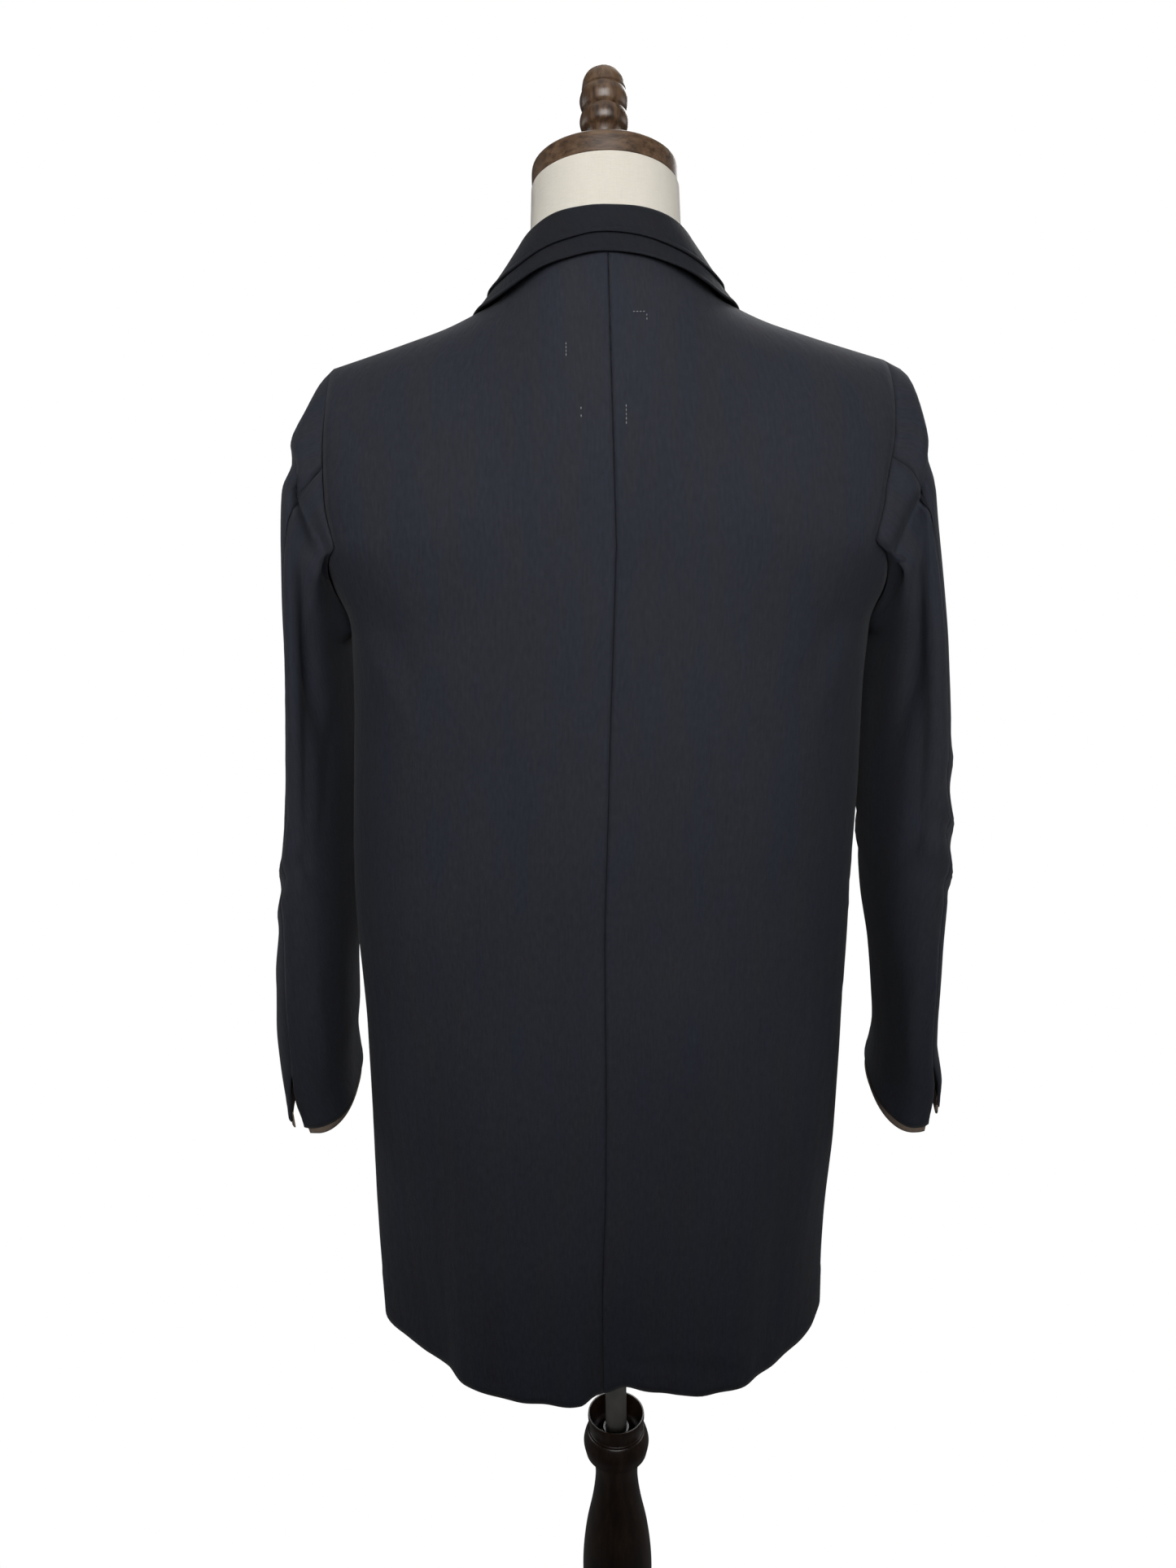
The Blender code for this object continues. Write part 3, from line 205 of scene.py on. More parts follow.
# Sleeves: the outer and inner line of each ring, from the armhole to the cuff.
SLEEVE_COLUMNS = ("s", "out_left", "out_right", "out_z", "in_left", "in_right", "in_z",
                  "centre_y", "half_depth", "shear", "tilt")
SLEEVE = np.array([
    (0.00, 0.2055, 0.2020, 1.4255, 0.2060, 0.2055, 1.235, -0.003, 0.078, 0.00, 0.00),
    (0.04, 0.2130, 0.2165, 1.4165, 0.2070, 0.2070, 1.231, -0.002, 0.079, 0.02, 0.00),
    (0.09, 0.2205, 0.2235, 1.4000, 0.2080, 0.2080, 1.227, 0.000, 0.079, 0.03, 0.00),
    (0.15, 0.2300, 0.2285, 1.3760, 0.2085, 0.2080, 1.222, 0.001, 0.078, 0.05, 0.00),
    (0.21, 0.2340, 0.2330, 1.3410, 0.2085, 0.2080, 1.214, 0.002, 0.077, 0.07, 0.00),
    (0.28, 0.2355, 0.2385, 1.2980, 0.2085, 0.2080, 1.202, 0.003, 0.076, 0.09, 0.00),
    (0.35, 0.2375, 0.2465, 1.2450, 0.2090, 0.2080, 1.182, 0.004, 0.075, 0.10, 0.00),
    (0.43, 0.2405, 0.2535, 1.1900, 0.2105, 0.2085, 1.150, 0.005, 0.0735, 0.10, 0.00),
    (0.52, 0.2500, 0.2620, 1.1150, 0.2130, 0.2090, 1.095, 0.005, 0.072, 0.09, 0.02),
    (0.60, 0.2615, 0.2680, 1.0550, 0.2160, 0.2120, 1.045, 0.003, 0.070, 0.07, 0.05),
    (0.69, 0.2715, 0.2685, 0.9950, 0.2185, 0.2185, 0.990, -0.003, 0.068, 0.05, 0.09),
    (0.78, 0.2810, 0.2715, 0.9400, 0.2230, 0.2290, 0.938, -0.010, 0.065, 0.04, 0.13),
    (0.87, 0.2870, 0.2760, 0.8900, 0.2260, 0.2355, 0.890, -0.018, 0.062, 0.03, 0.17),
    (0.94, 0.2885, 0.2860, 0.8480, 0.2310, 0.2390, 0.848, -0.027, 0.060, 0.02, 0.20),
    (1.00, 0.2880, 0.2890, 0.8120, 0.2310, 0.2355, 0.812, -0.035, 0.058, 0.02, 0.225),
])
SLEEVE_POWER = 2.4
CAP_BLEND_S = 0.15
SEAM_COLUMNS = ("s", "hind", "fore")
SEAMS = np.array([
    (0.00, 79.7, 248.4),
    (0.30, 72.0, 240.0),
    (0.60, 66.0, 235.0),
    (0.86, 73.0, 235.0),
    (1.00, 69.0, 235.0),
])
BACK_ARCH_ROWS = 28
FRONT_ARCH_ROWS = 32
SIDE_STRIPS = 16
SEAM_OPEN = 0.0015
VENT_S = 0.868
VENT_SPREAD = 0.0050
VENT_UNDER = 0.0015
VENT_SLIP = 7.0
VENT_ANGLE = 24.0
CORNER_SLIP = {LEFT: 9.0, RIGHT: 2.0}
SLEEVE_RISE = {LEFT: 0.0072, RIGHT: 0.0}
FLAP_RISE = {LEFT: 0.0050, RIGHT: 0.0190}
TRIM_ABOVE_S = 0.97
TRIM_TUCK = 0.010
TRIM_SHOW = 0.0082

# Dents of the sleeve: ring angle (0 outer, 90 back), half angle, s, half length in s, depth.
DENTS = np.array([
    (128.0, 26.0, 0.30, 0.16, -0.0080),
    (100.0, 16.0, 0.16, 0.07, -0.0040),
    (50.0, 26.0, 0.56, 0.07, -0.0025),
    (250.0, 24.0, 0.58, 0.08, -0.0050),
    (300.0, 22.0, 0.20, 0.10, -0.0035),
])

# Dress form: one row for each ring.
FORM_COLUMNS = ("z", "half_width", "half_depth", "centre_y", "power", "tilt")
FORM = np.array([
    (0.7850, 0.1480, 0.0920, 0.000, 2.2, 0.0),
    (0.8000, 0.1600, 0.1010, 0.000, 2.2, 0.0),
    (0.8700, 0.1670, 0.1070, 0.000, 2.2, 0.0),
    (0.9600, 0.1530, 0.0990, 0.000, 2.2, 0.0),
    (1.0500, 0.1310, 0.0880, -0.002, 2.1, 0.0),
    (1.1200, 0.1300, 0.0880, -0.004, 2.1, 0.0),
    (1.2000, 0.1460, 0.0990, -0.006, 2.1, 0.0),
    (1.2700, 0.1590, 0.1040, -0.004, 2.1, 0.0),
    (1.3300, 0.1710, 0.0960, 0.001, 2.0, 0.0),
    (1.3800, 0.1820, 0.0800, 0.002, 1.9, 0.0),
    (1.4100, 0.1870, 0.0700, 0.001, 1.8, 0.0),
    (1.4238, 0.1830, 0.0640, 0.000, 1.7, 0.0),
    (1.4326, 0.1715, 0.0610, -0.001, 1.6, 0.0),
    (1.4396, 0.1490, 0.0600, -0.001, 1.55, 0.0),
    (1.4490, 0.1200, 0.0590, -0.001, 1.55, 0.0),
    (1.4610, 0.0925, 0.0575, 0.000, 1.6, 0.0),
    (1.4720, 0.0745, 0.0570, 0.001, 1.8, 0.0),
    (1.4830, 0.0600, 0.0550, 0.002, 2.0, 0.05),
    (1.4980, 0.0552, 0.0540, 0.000, 2.0, 0.12),
    (1.5200, 0.0545, 0.0535, -0.004, 2.0, 0.20),
    (1.5450, 0.0535, 0.0530, -0.008, 2.0, 0.268),
])
NECK_TILT = math.radians(15.0)
NECK_TOP = (0.0, -0.008, 1.545)
CAP_RADIUS = 0.0530
CAP_HEIGHT = 0.0175
FIT = 0.0003

# Turned wood: radius and height of each profile point, top to bottom.
FINIAL = [
    (0.0000, 0.0720), (0.0060, 0.0712), (0.0115, 0.0680), (0.0148, 0.0630), (0.0160, 0.0565),
    (0.0152, 0.0556), (0.0166, 0.0530), (0.0177, 0.0480), (0.0166, 0.0430), (0.0146, 0.0405),
    (0.0166, 0.0380), (0.0178, 0.0330), (0.0166, 0.0280), (0.0130, 0.0250), (0.0105, 0.0190),
    (0.0110, 0.0120), (0.0160, 0.0080), (0.0170, 0.0040), (0.0160, 0.0000), (0.0000, 0.0000),
]
COLUMN_TOP = 0.4835
SOCKET_RADIUS = 0.0104
SOCKET_FLOOR = 0.380
COLUMN = [
    (0.0000, SOCKET_FLOOR), (SOCKET_RADIUS, SOCKET_FLOOR), (SOCKET_RADIUS, 0.4675),
    (0.0122, 0.4675), (0.0127, 0.4605), (0.0195, 0.4605), (0.0236, 0.4665), (0.0254, COLUMN_TOP),
    (0.0266, COLUMN_TOP), (0.0268, 0.4790), (0.0252, 0.4680), (0.0280, 0.4650), (0.0312, 0.4530),
    (0.0292, 0.4410), (0.0225, 0.4365), (0.0204, 0.4200), (0.0208, 0.4050), (0.0238, 0.3830),
    (0.0296, 0.3530), (0.0331, 0.3230), (0.0340, 0.2950), (0.0326, 0.2600), (0.0270, 0.2150),
    (0.0222, 0.1750), (0.0205, 0.1520), (0.0285, 0.1440), (0.0318, 0.1320), (0.0285, 0.1200),
    (0.0215, 0.1130), (0.0260, 0.0900), (0.0360, 0.0700), (0.0500, 0.0560), (0.0560, 0.0480),
    (0.0560, 0.0303), (0.0000, 0.0303),
]
BASE_RADIUS = 0.180
BASE = [
    (0.0000, 0.0300), (0.1480, 0.0300), (0.1600, 0.0270), (0.1680, 0.0215), (0.1760, 0.0200),
    (BASE_RADIUS, 0.0160), (BASE_RADIUS, 0.0040), (0.1770, 0.0000), (0.0000, 0.0000),
]
POLE_RADIUS = 0.0100
POLE_FIT = 0.0004
PLATE_RADIUS = 0.085
PLATE_HEIGHT = 0.012

BUTTON_LEVELS = (1.175, 1.055, 0.935)

BACK, FRONT = 1, -1
TANGENTS = {}


def table_tangents(table, column):
    """Steps and monotone tangents of one column, worked out once."""
    key = (id(table), column)
    if key not in TANGENTS:
        x, y = table[:, 0], table[:, column]
        h = np.diff(x)
        slope = np.diff(y) / h
        tangent = np.zeros_like(y)
        tangent[0], tangent[-1] = slope[0], slope[-1]
        for i in range(1, len(x) - 1):
            if slope[i - 1] * slope[i] > 0:
                w1, w2 = 2 * h[i] + h[i - 1], h[i] + 2 * h[i - 1]
                tangent[i] = (w1 + w2) / (w1 / slope[i - 1] + w2 / slope[i])
        TANGENTS[key] = (x.tolist(), y.tolist(), h.tolist(), tangent.tolist())
    return TANGENTS[key]


def table_curve(table, names, name, at):
    """Smooth monotone cubic through one column of a table, read at the first column's value."""
    x, y, h, tangent = table_tangents(table, names.index(name))
    at = min(max(at, x[0]), x[-1])
    i = 0
    while i < len(h) - 1 and at >= x[i + 1]:
        i += 1
    t = (at - x[i]) / h[i]
    return (
        (1 + 2 * t) * (1 - t) ** 2 * y[i]
        + t * (1 - t) ** 2 * h[i] * tangent[i]
        + t * t * (3 - 2 * t) * y[i + 1]
        + t * t * (t - 1) * h[i] * tangent[i + 1]
    )


def smooth_step(low, high, value):
    """0 at low, 1 at high, and a soft curve between them."""
    t = min(max((value - low) / (high - low), 0.0), 1.0)
    return t * t * (3 - 2 * t)


def body_value(name, z):
    return table_curve(BODY, BODY_COLUMNS, name, z)


def fold_share(angle, z):
    return smooth_step(table_curve(FOLDS, FOLD_COLUMNS, "fade_z", angle), HEM_Z, z) ** FOLD_SHAPE


def fold_depth(angle, z):
    """Offset of the skirt's folds at an angle from the centre back."""
    return table_curve(FOLDS, FOLD_COLUMNS, "depth", angle) * fold_share(angle, z)


def with_folds(side, face, out_x, y, z):
    """Moves a point of the body's plain section out or in along its own direction."""
    half, depth = body_value("half_width", z), body_value("back" if face == BACK else "front", z)
    angle = math.degrees(math.atan2(side * out_x, y))
    direction = np.array([side * out_x / half**2, y / depth**2])
    direction /= max(np.linalg.norm(direction), 1e-9)
    shift = fold_depth(angle, z) * direction
    rise = table_curve(FOLDS, FOLD_COLUMNS, "rise", angle) * smooth_step(HEM_DRAWN_Z, HEM_Z, z)
    return side * out_x + shift[0], y + shift[1], z + rise


def level_depth(face, out_x, z):
    """Distance of the section from the side-to-side axis, at out_x from the centre."""
    half, power = body_value("half_width", z), body_value("power", z)
    depth = body_value("back" if face == BACK else "front", z)
    return depth * max(1 - (out_x / half) ** power, 0.0) ** (1 / power)


def top_point(face, out_x):
    """Shoulder line, and on the back the neckline inside it."""
    if face == FRONT and out_x < NECK_X:
        return 0.0, NECK_Z + 0.45 * (NECK_X - out_x)
    return tuple(table_curve(TOP, TOP_COLUMNS, name, out_x) for name in ("y", "z"))


def main_point(side, face, out_x, z):
    """Body surface below the blades."""
    x, y, z_true = with_folds(side, face, out_x, face * level_depth(face, out_x, z), z)
    return np.array([body_value("centre_x", z) + x, y, z_true])


def arch_point(side, face, out_x, turn):
    """Body surface over the blades: turn 0 at blade level, 90 degrees at the shoulder line."""
    y_top, z_top = top_point(face, out_x)
    y_low = face * level_depth(face, out_x, BLADE_Z)
    last = math.radians(NAPE_ARCH + (90.0 - NAPE_ARCH) * smooth_step(0.0, NECK_X, out_x))
    if face == FRONT:
        last = math.pi / 2
    bend = turn * last / (math.pi / 2)
    y = y_top + (y_low - y_top) * (math.cos(bend) - math.cos(last)) / (1 - math.cos(last))
    z = BLADE_Z + (z_top - BLADE_Z) * math.sin(bend) / math.sin(last)
    lean = 1 - math.sin(turn) * (1 - min(out_x / TIP_X, 1.0))
    return np.array([body_value("centre_x", BLADE_Z) * lean + side * out_x, y, z])


def armhole_x(side, face, z):
    less = table_curve(ARMHOLE, ARMHOLE_COLUMNS, "right_in", z) if side == RIGHT else 0.0
    less *= 1.0 if face == BACK else smooth_step(1.30, 1.43, z)
    return table_curve(ARMHOLE, ARMHOLE_COLUMNS, "back_x" if face == BACK else "front_x", z) - less


def side_start_x(side, face, z):
    """Where the side part of a panel begins."""
    to_armhole = armhole_x(side, face, BLADE_Z) - SIDE_START[-1, 1]
    narrow = to_armhole * smooth_step(1.12, BLADE_Z, z)
    return table_curve(SIDE_START, SIDE_COLUMNS, "main_x", z) + narrow


def side_point(side, face, share, z_row):
    """Side part of a panel: share 0 at its start, 1 at the side seam. Its top row is the armhole."""
    start, half = side_start_x(side, face, z_row), body_value("half_width", z_row)
    power = body_value("power", z_row)
    first = math.asin(min((start / half) ** (power / 2), 1.0))
    drop = (BLADE_Z - UNDERARM_Z) * math.sin(share * math.pi / 2) ** 1.25
    z = z_row - drop * smooth_step(0.98, BLADE_Z, z_row)
    power = body_value("power", z)
    half = body_value("half_width", z)
    first_here = math.asin(min((start / half) ** (power / 2), 1.0)) if start < half else first
    turn = first_here + (math.pi / 2 - first_here) * share
    out_x = half * math.sin(turn) ** (2 / power)
    return main_point(side, face, min(out_x, half * 0.99999), z)


def arch_turns(count):
    """Row angles of the arch, closer together near the shoulder line."""
    return [math.radians(90.0 * k / count) for k in range(count + 1)]


def outer_x_on_arch(side, face, turn):
    """Where an arch row meets the armhole."""
    out_x = TIP_X
    for _ in range(12):
        z_top = top_point(face, out_x)[1]
        out_x = armhole_x(side, face, BLADE_Z + (z_top - BLADE_Z) * math.sin(turn))
    return out_x


def roll_x(z):
    return table_curve(ROLL, ROLL_COLUMNS, "x", z)


def inner_x_on_arch(turn):
    """Where an arch row of the front meets the roll line."""
    out_x = NECK_X
    for _ in range(40):
        z_top = top_point(FRONT, out_x)[1]
        z = BLADE_Z + (z_top - BLADE_Z) * math.sin(turn)
        out_x += 0.5 * (roll_x(z) - out_x)
    return out_x


def body_rows(face, low_rows, arch_rows):
    """Row parameters from hem to shoulder: ("low", z) or ("arch", angle)."""
    levels = np.linspace(HEM_Z, BLADE_Z, low_rows + 1)
    if face == FRONT:
        nearest = int(np.argmin(abs(levels - LAP_TOP_Z)))
        levels[nearest] = LAP_TOP_Z
    rows = [("low", z) for z in levels]
    return rows + [("arch", turn) for turn in arch_turns(arch_rows)[1:]]


def body_panel(side, face, low_rows, arch_rows, main_columns, side_columns):
    """Points of one back or front panel, and None where the grid has no cloth."""
    inset = SEAM_GAP / 2
    grid = []
    for kind, value in body_rows(face, low_rows, arch_rows):
        row = []
        if kind == "low":
            start = side_start_x(side, face, value)
            first = inset if face == BACK else (roll_x(value) if value > LAP_TOP_Z else -LAP)
        else:
            start = outer_x_on_arch(side, face, value)
            first = inset if face == BACK else inner_x_on_arch(value)
        for out_x in column_places(face, first, start, main_columns):
            if kind == "arch":
                row.append(arch_point(side, face, out_x, value))
            else:
                row.append(main_point(side, face, abs(out_x), value) if out_x >= 0
                           else main_point(-side, face, -out_x, value))
        for column in range(1, side_columns + 1):
            share = column / side_columns * (1 - inset / 0.03 * (column == side_columns))
            row.append(side_point(side, face, share, value) if kind == "low" else None)
        grid.append(row)
    close_shoulder(grid, face)
    if face == FRONT:
        lap_panel(grid, side)
    return grid


def column_places(face, first, last, count):
    """Distances out from the centre. On the back one column runs through the neck point."""
    if face == FRONT:
        return [first + (last - first) * k / count for k in range(count + 1)]
    inner = [first + (NECK_X - first) * k / NECK_COLUMNS for k in range(NECK_COLUMNS)]
    rest = count - NECK_COLUMNS
    return inner + [NECK_X + (last - NECK_X) * k / rest for k in range(rest + 1)]


def close_shoulder(grid, face):
    """Keeps the two shoulder edges a seam's gap apart."""
    for point in grid[-1]:
        if point is not None:
            point[1] += face * SEAM_GAP


def lap_panel(grid, side):
    """The left front lies over the right one, so it is moved out near the opening."""
    for row in grid:
        for point in row:
            if point is None:
                continue
            across = side * point[0]
            share = 1 - smooth_step(LAP, LAP_OUT_X, across)
            point[1] -= side * LAP_STEP / 2 * share


def armhole_curve(side, face, share, back_off=0.0):
    """Armhole edge of the body from the shoulder tip (0) to the underarm (1)."""
    if share <= ARMHOLE_SPLIT:
        turn = math.pi / 2 * (1 - share / ARMHOLE_SPLIT)
        return arch_point(side, face, outer_x_on_arch(side, face, turn) - back_off, turn)
    return side_point(side, face, (share - ARMHOLE_SPLIT) / (1 - ARMHOLE_SPLIT), BLADE_Z - back_off)


def sleeve_value(name, s):
    return table_curve(SLEEVE, SLEEVE_COLUMNS, name, s)


def plain_ring(side, s, angle):
    """Ellipse-like ring of the sleeve: angle 0 outer or top, 90 back, 180 under, 270 front."""
    name = SIDE_WORD[side]
    outer = np.array([sleeve_value("out_" + name, s), sleeve_value("out_z", s)])
    inner = np.array([sleeve_value("in_" + name, s), sleeve_value("in_z", s)])
    turn = math.radians(angle)
    middle, reach = (outer + inner) / 2, (outer - inner) / 2
    power = 2 / SLEEVE_POWER
    x, z = middle + reach * math.copysign(abs(math.cos(turn)) ** power, math.cos(turn))
    depth = sleeve_value("half_depth", s) * math.copysign(abs(math.sin(turn)) ** power, math.sin(turn))
    x += sleeve_value("shear", s) * depth
    z += SLEEVE_RISE[side] * smooth_step(0.75, 1.0, s) - sleeve_value("tilt", s) * depth
    return np.array([side * x, sleeve_value("centre_y", s) + depth, z])


def dent_depth(s, angle):
    total = 0.0
    for centre, half, middle, length, depth in DENTS:
        away = (angle - centre + 180.0) % 360.0 - 180.0
        total += depth * math.exp(-((away / half) ** 2) - ((s - middle) / length) ** 2)
    return total


def sleeve_point(side, s, angle):
    """Mid-surface of the sleeve. Near the armhole it follows the armhole's own curve."""
    point = plain_ring(side, s, angle)
    near = 1 - smooth_step(0.0, CAP_BLEND_S, s)
    if near > 0:
        wrapped = angle % 360.0
        face = BACK if wrapped <= 180.0 else FRONT
        share = wrapped / 180.0 if face == BACK else (360.0 - wrapped) / 180.0
        off = armhole_curve(side, face, share) - plain_ring(side, 0.0, angle)
        point += near * off
    centre = (plain_ring(side, s, 0.0) + plain_ring(side, s, 180.0)) / 2
    inward = point - centre
    inward /= max(np.linalg.norm(inward), 1e-9)
    return point + inward * dent_depth(s, angle) * (1 - near)


def vent_shape(side, s, angle, is_top):
    """Opens the hind seam below the vent: returns the new angle, the outward spread and the rise."""
    open_share = smooth_step(VENT_S, 1.0, s)
    away = abs(angle - SEAMS[-1, 1])
    near = math.exp(-((away / VENT_ANGLE) ** 2))
    if is_top:
        rise = FLAP_RISE[side] * open_share * near
        return angle - VENT_SLIP * open_share * near, VENT_SPREAD * open_share * near, rise
    corner = smooth_step(0.95, 1.0, s)
    slip = (open_share + CORNER_SLIP[side] * corner) * near
    return angle + slip, -VENT_UNDER * open_share * near, 0.0


def sleeve_panel_point(side, s, angle, is_top):
    """Sleeve point with the vent's spread."""
    moved, spread, rise = vent_shape(side, s, angle, is_top)
    point = sleeve_point(side, s, moved)
    centre = (sleeve_point(side, s, 0.0) + sleeve_point(side, s, 180.0)) / 2
    outward = point - centre
    outward[2] = 0.0
    point[2] += rise
    return point + outward / max(np.linalg.norm(outward), 1e-9) * spread


def armhole_angles(is_top):
    """Ring angles at which the body panels have a point on the armhole, for one sleeve panel."""
    split = 180.0 * ARMHOLE_SPLIT
    behind = [split * k / BACK_ARCH_ROWS for k in range(BACK_ARCH_ROWS)]
    behind += [split + (180.0 - split) * k / SIDE_STRIPS for k in range(SIDE_STRIPS + 1)]
    before = [360.0 - split * k / FRONT_ARCH_ROWS for k in range(FRONT_ARCH_ROWS, 0, -1)]
    under = [360.0 - split - (180.0 - split) * k / SIDE_STRIPS for k in range(SIDE_STRIPS - 1, 0, -1)]
    hind, fore = SEAMS[0, 1], SEAMS[0, 2]
    ring = behind + under + before
    if is_top:
        return sorted([a - 360.0 for a in ring if a > fore - 1.0] + [a for a in ring if a < hind + 1.0])
    return sorted(a for a in ring if hind - 1.0 < a < fore + 1.0)


def sleeve_angles(is_top, s):
    """Column angles of one sleeve panel, from seam to seam."""
    hind = table_curve(SEAMS, SEAM_COLUMNS, "hind", s)
    fore = table_curve(SEAMS, SEAM_COLUMNS, "fore", s)
    low, high = (fore - 360.0, hind) if is_top else (hind, fore)
    start = armhole_angles(is_top)
    count = len(start) - 1
    even = smooth_step(0.0, 0.35, s)
    return [a + (low + (high - low) * k / count - a) * even for k, a in enumerate(start)]


def sleeve_rows(cap_rows, arm_rows, vent_rows):
    cap = [CAP_BLEND_S * 1.4 * k / cap_rows for k in range(cap_rows)]
    arm = list(np.linspace(CAP_BLEND_S * 1.4, VENT_S, arm_rows + 1))
    vent = list(np.linspace(VENT_S, 1.0, vent_rows + 1))[1:]
    return cap + arm + vent


def sleeve_panels(side, cap_rows, arm_rows, vent_rows):
    """Grids of the top and the under sleeve."""
    grids = []
    for is_top in (True, False):
        grid = [[sleeve_panel_point(side, s, angle, is_top) for angle in sleeve_angles(is_top, s)]
                for s in sleeve_rows(cap_rows, arm_rows, vent_rows)]
        start_at_seam(grid, side, is_top)
        grids.append(grid)
    top, under = grids
    part_seam(top, -1, -2, under, 0, 1)
    part_seam(top, 0, 1, under, -1, -2)
    return grids


def square_to(vector, line):
    """The part of a vector that is square to a unit line."""
    return vector - line * vector.dot(line)


def part_seam(first, edge_a, next_a, second, edge_b, next_b):
    """Sets two panels a gap apart at their seam, more where the cloth turns sharply there."""
    seam = [(a[edge_a] + b[edge_b]) / 2 for a, b in zip(first, second)]
    apart = [np.linalg.norm(a[edge_a] - b[edge_b]) for a, b in zip(first, second)]
    for k, (a, b) in enumerate(zip(first, second)):
        if apart[k] > SEAM_OPEN:
            continue
        line = unit(seam[min(k + 1, len(seam) - 1)] - seam[max(k - 1, 0)])
        ways = [row[near] - seam[k] for row, near in ((a, next_a), (b, next_b))]
        one, other = (unit(square_to(way, line)) for way in ways)
        straight = -one.dot(other)
        mitre = math.sqrt(max(1 - straight, 0.0) / max(1 + straight, 0.05))
        inset = SEAM_GAP / 2 + 0.0001 + WALL / 2 * min(0.7 * mitre, 4.0)
        for row, edge, way in ((a, edge_a, ways[0]), (b, edge_b, ways[1])):
            width = np.linalg.norm(square_to(way, line))
            row[edge] = seam[k] + way * min(inset / max(width, 1e-6), 0.45)


def panel_direction(side, face, share):
    """Direction in which a body panel runs out to the armhole."""
    def run(at):
        return unit(armhole_curve(side, face, at) - armhole_curve(side, face, at, 0.004))
    to_side = smooth_step(ARMHOLE_SPLIT - 0.10, ARMHOLE_SPLIT + 0.12, share)
    over = run(min(share, ARMHOLE_SPLIT))
    beside = run(max(share, ARMHOLE_SPLIT + 0.001))
    return unit(over * (1 - to_side) + beside * to_side)


def start_at_seam(grid, side, is_top):
    """Sets the first ring a seam's gap off the body, more where it leaves the body at an angle."""
    for k, angle in enumerate(sleeve_angles(is_top, 0.0)):
        wrapped = angle % 360.0
        face = BACK if wrapped <= 180.0 else FRONT
        share = wrapped / 180.0 if face == BACK else (360.0 - wrapped) / 180.0
        edge = armhole_curve(side, face, share)
        line = unit(armhole_curve(side, face, min(share + 0.02, 1.0))
                    - armhole_curve(side, face, max(share - 0.02, 0.0)))
        inside = unit(square_to(panel_direction(side, face, share), line))
        leave = unit(square_to(grid[1][k] - edge, line))
        across = unit(leave - inside * np.dot(inside, leave))
        doubled = max(-np.dot(inside, leave), 0.0)
        off = 2 * SEAM_GAP + WALL * 0.62 * np.linalg.norm(np.cross(inside, leave))
        grid[0][k] = edge + leave * off + across * doubled * (WALL + 0.0020)


def unit(vector):
    return vector / max(np.linalg.norm(vector), 1e-9)


def trim_strip(side):
    """Brown cuff facing: a strip tucked inside the cuff that shows below its edge, vent to vent."""
    inset = WALL / 2 + TRIM_WALL / 2 + SEAM_GAP

    def cuff_points(is_top):
        """One panel's cuff edge: each point with the one above it."""
        return [tuple(sleeve_panel_point(side, s, a, is_top) for s in (1.0, TRIM_ABOVE_S))
                for a in reversed(sleeve_angles(is_top, 1.0))]
    top, under = cuff_points(True), cuff_points(False)[:-1]
    edge = top[:-1] + [tuple((a + b) / 2 for a, b in zip(top[-1], under[0]))] + under[1:]
    centre = np.mean([low for low, _ in edge], axis=0)
    rows = ([], [], [])
    for k, (low, above) in enumerate(edge):
        down = unit(low - above)
        along = unit(edge[min(k + 1, len(edge) - 1)][0] - edge[max(k - 1, 0)][0])
        inward = np.cross(along, down)
        if inward.dot(centre - low) < 0:
            inward = -inward
        inward = unit(inward - down * inward.dot(down))
        for row, drop in zip(rows, (-TRIM_TUCK, 0.0, TRIM_SHOW)):
            row.append(low + inward * inset + down * drop)
    return rows


def front_surface(side, out_x, z):
    """Point of the front panel at a given level, and its outward normal."""
    def at(x, level):
        if level <= BLADE_Z:
            point = main_point(side if x >= 0 else -side, FRONT, abs(x), level)
            point[2] = level
            return point
        z_top = top_point(FRONT, x)[1]
        sine = min((level - BLADE_Z) / (z_top - BLADE_Z), 1.0)
        return arch_point(side, FRONT, x, math.asin(sine))
    step = 0.002
    point = at(out_x, z)
    across, along = at(out_x + step, z) - point, at(out_x, z + step) - point
    normal = np.cross(across, along)
    if normal[1] > 0:
        normal = -normal
    return point, unit(normal)


def lapel_grid(side, rows, columns):
    """Turned-back facing: starts inside the front edge, goes round the roll line and lies outside."""
    grid = []
    lap = side * LAP_STEP / 2
    for r in range(rows + 1):
        t = r / rows
        z = table_curve(LAPEL, LAPEL_COLUMNS, "z", t)
        width = table_curve(LAPEL, LAPEL_COLUMNS, "width", t)
        x = roll_x(z)
        slope = (roll_x(z + 0.004) - roll_x(z - 0.004)) / 0.008
        out = np.array([1.0, -slope]) / math.hypot(1.0, slope)
        row = []
        inner, normal = front_surface(side, x + min(LAPEL_TURN, 0.6 * width + 0.002), z)
        row.append(inner - normal * LAPEL_UNDER)
        edge, normal = front_surface(side, x, z)
        away = np.array([-side * out[0], 0.0, -out[1]])
        for reach, rise in LAPEL_ROLL:
            row.append(edge + away * reach + normal * rise)
        for c in range(1, columns + 1):
            reach = width * c / columns
            lift = LAPEL_LIFT + 0.0022 * math.sin(math.pi * min(c / columns, 1.0)) - 0.0010 * c / columns
            base, normal = front_surface(side, x + reach * out[0], z + reach * out[1])
            row.append(base + normal * lift)
        for point in row:
            share = 1 - smooth_step(LAP, LAP_OUT_X, side * point[0])
            point[1] -= lap * share
        grid.append(row)
    return grid


def collar_value(name, t):
    return table_curve(COLLAR, COLLAR_COLUMNS, name, t)


MIRROR = {LEFT: np.array([1.0, 1.0, 1.0]), RIGHT: np.array([-1.0, 1.0, 1.0])}


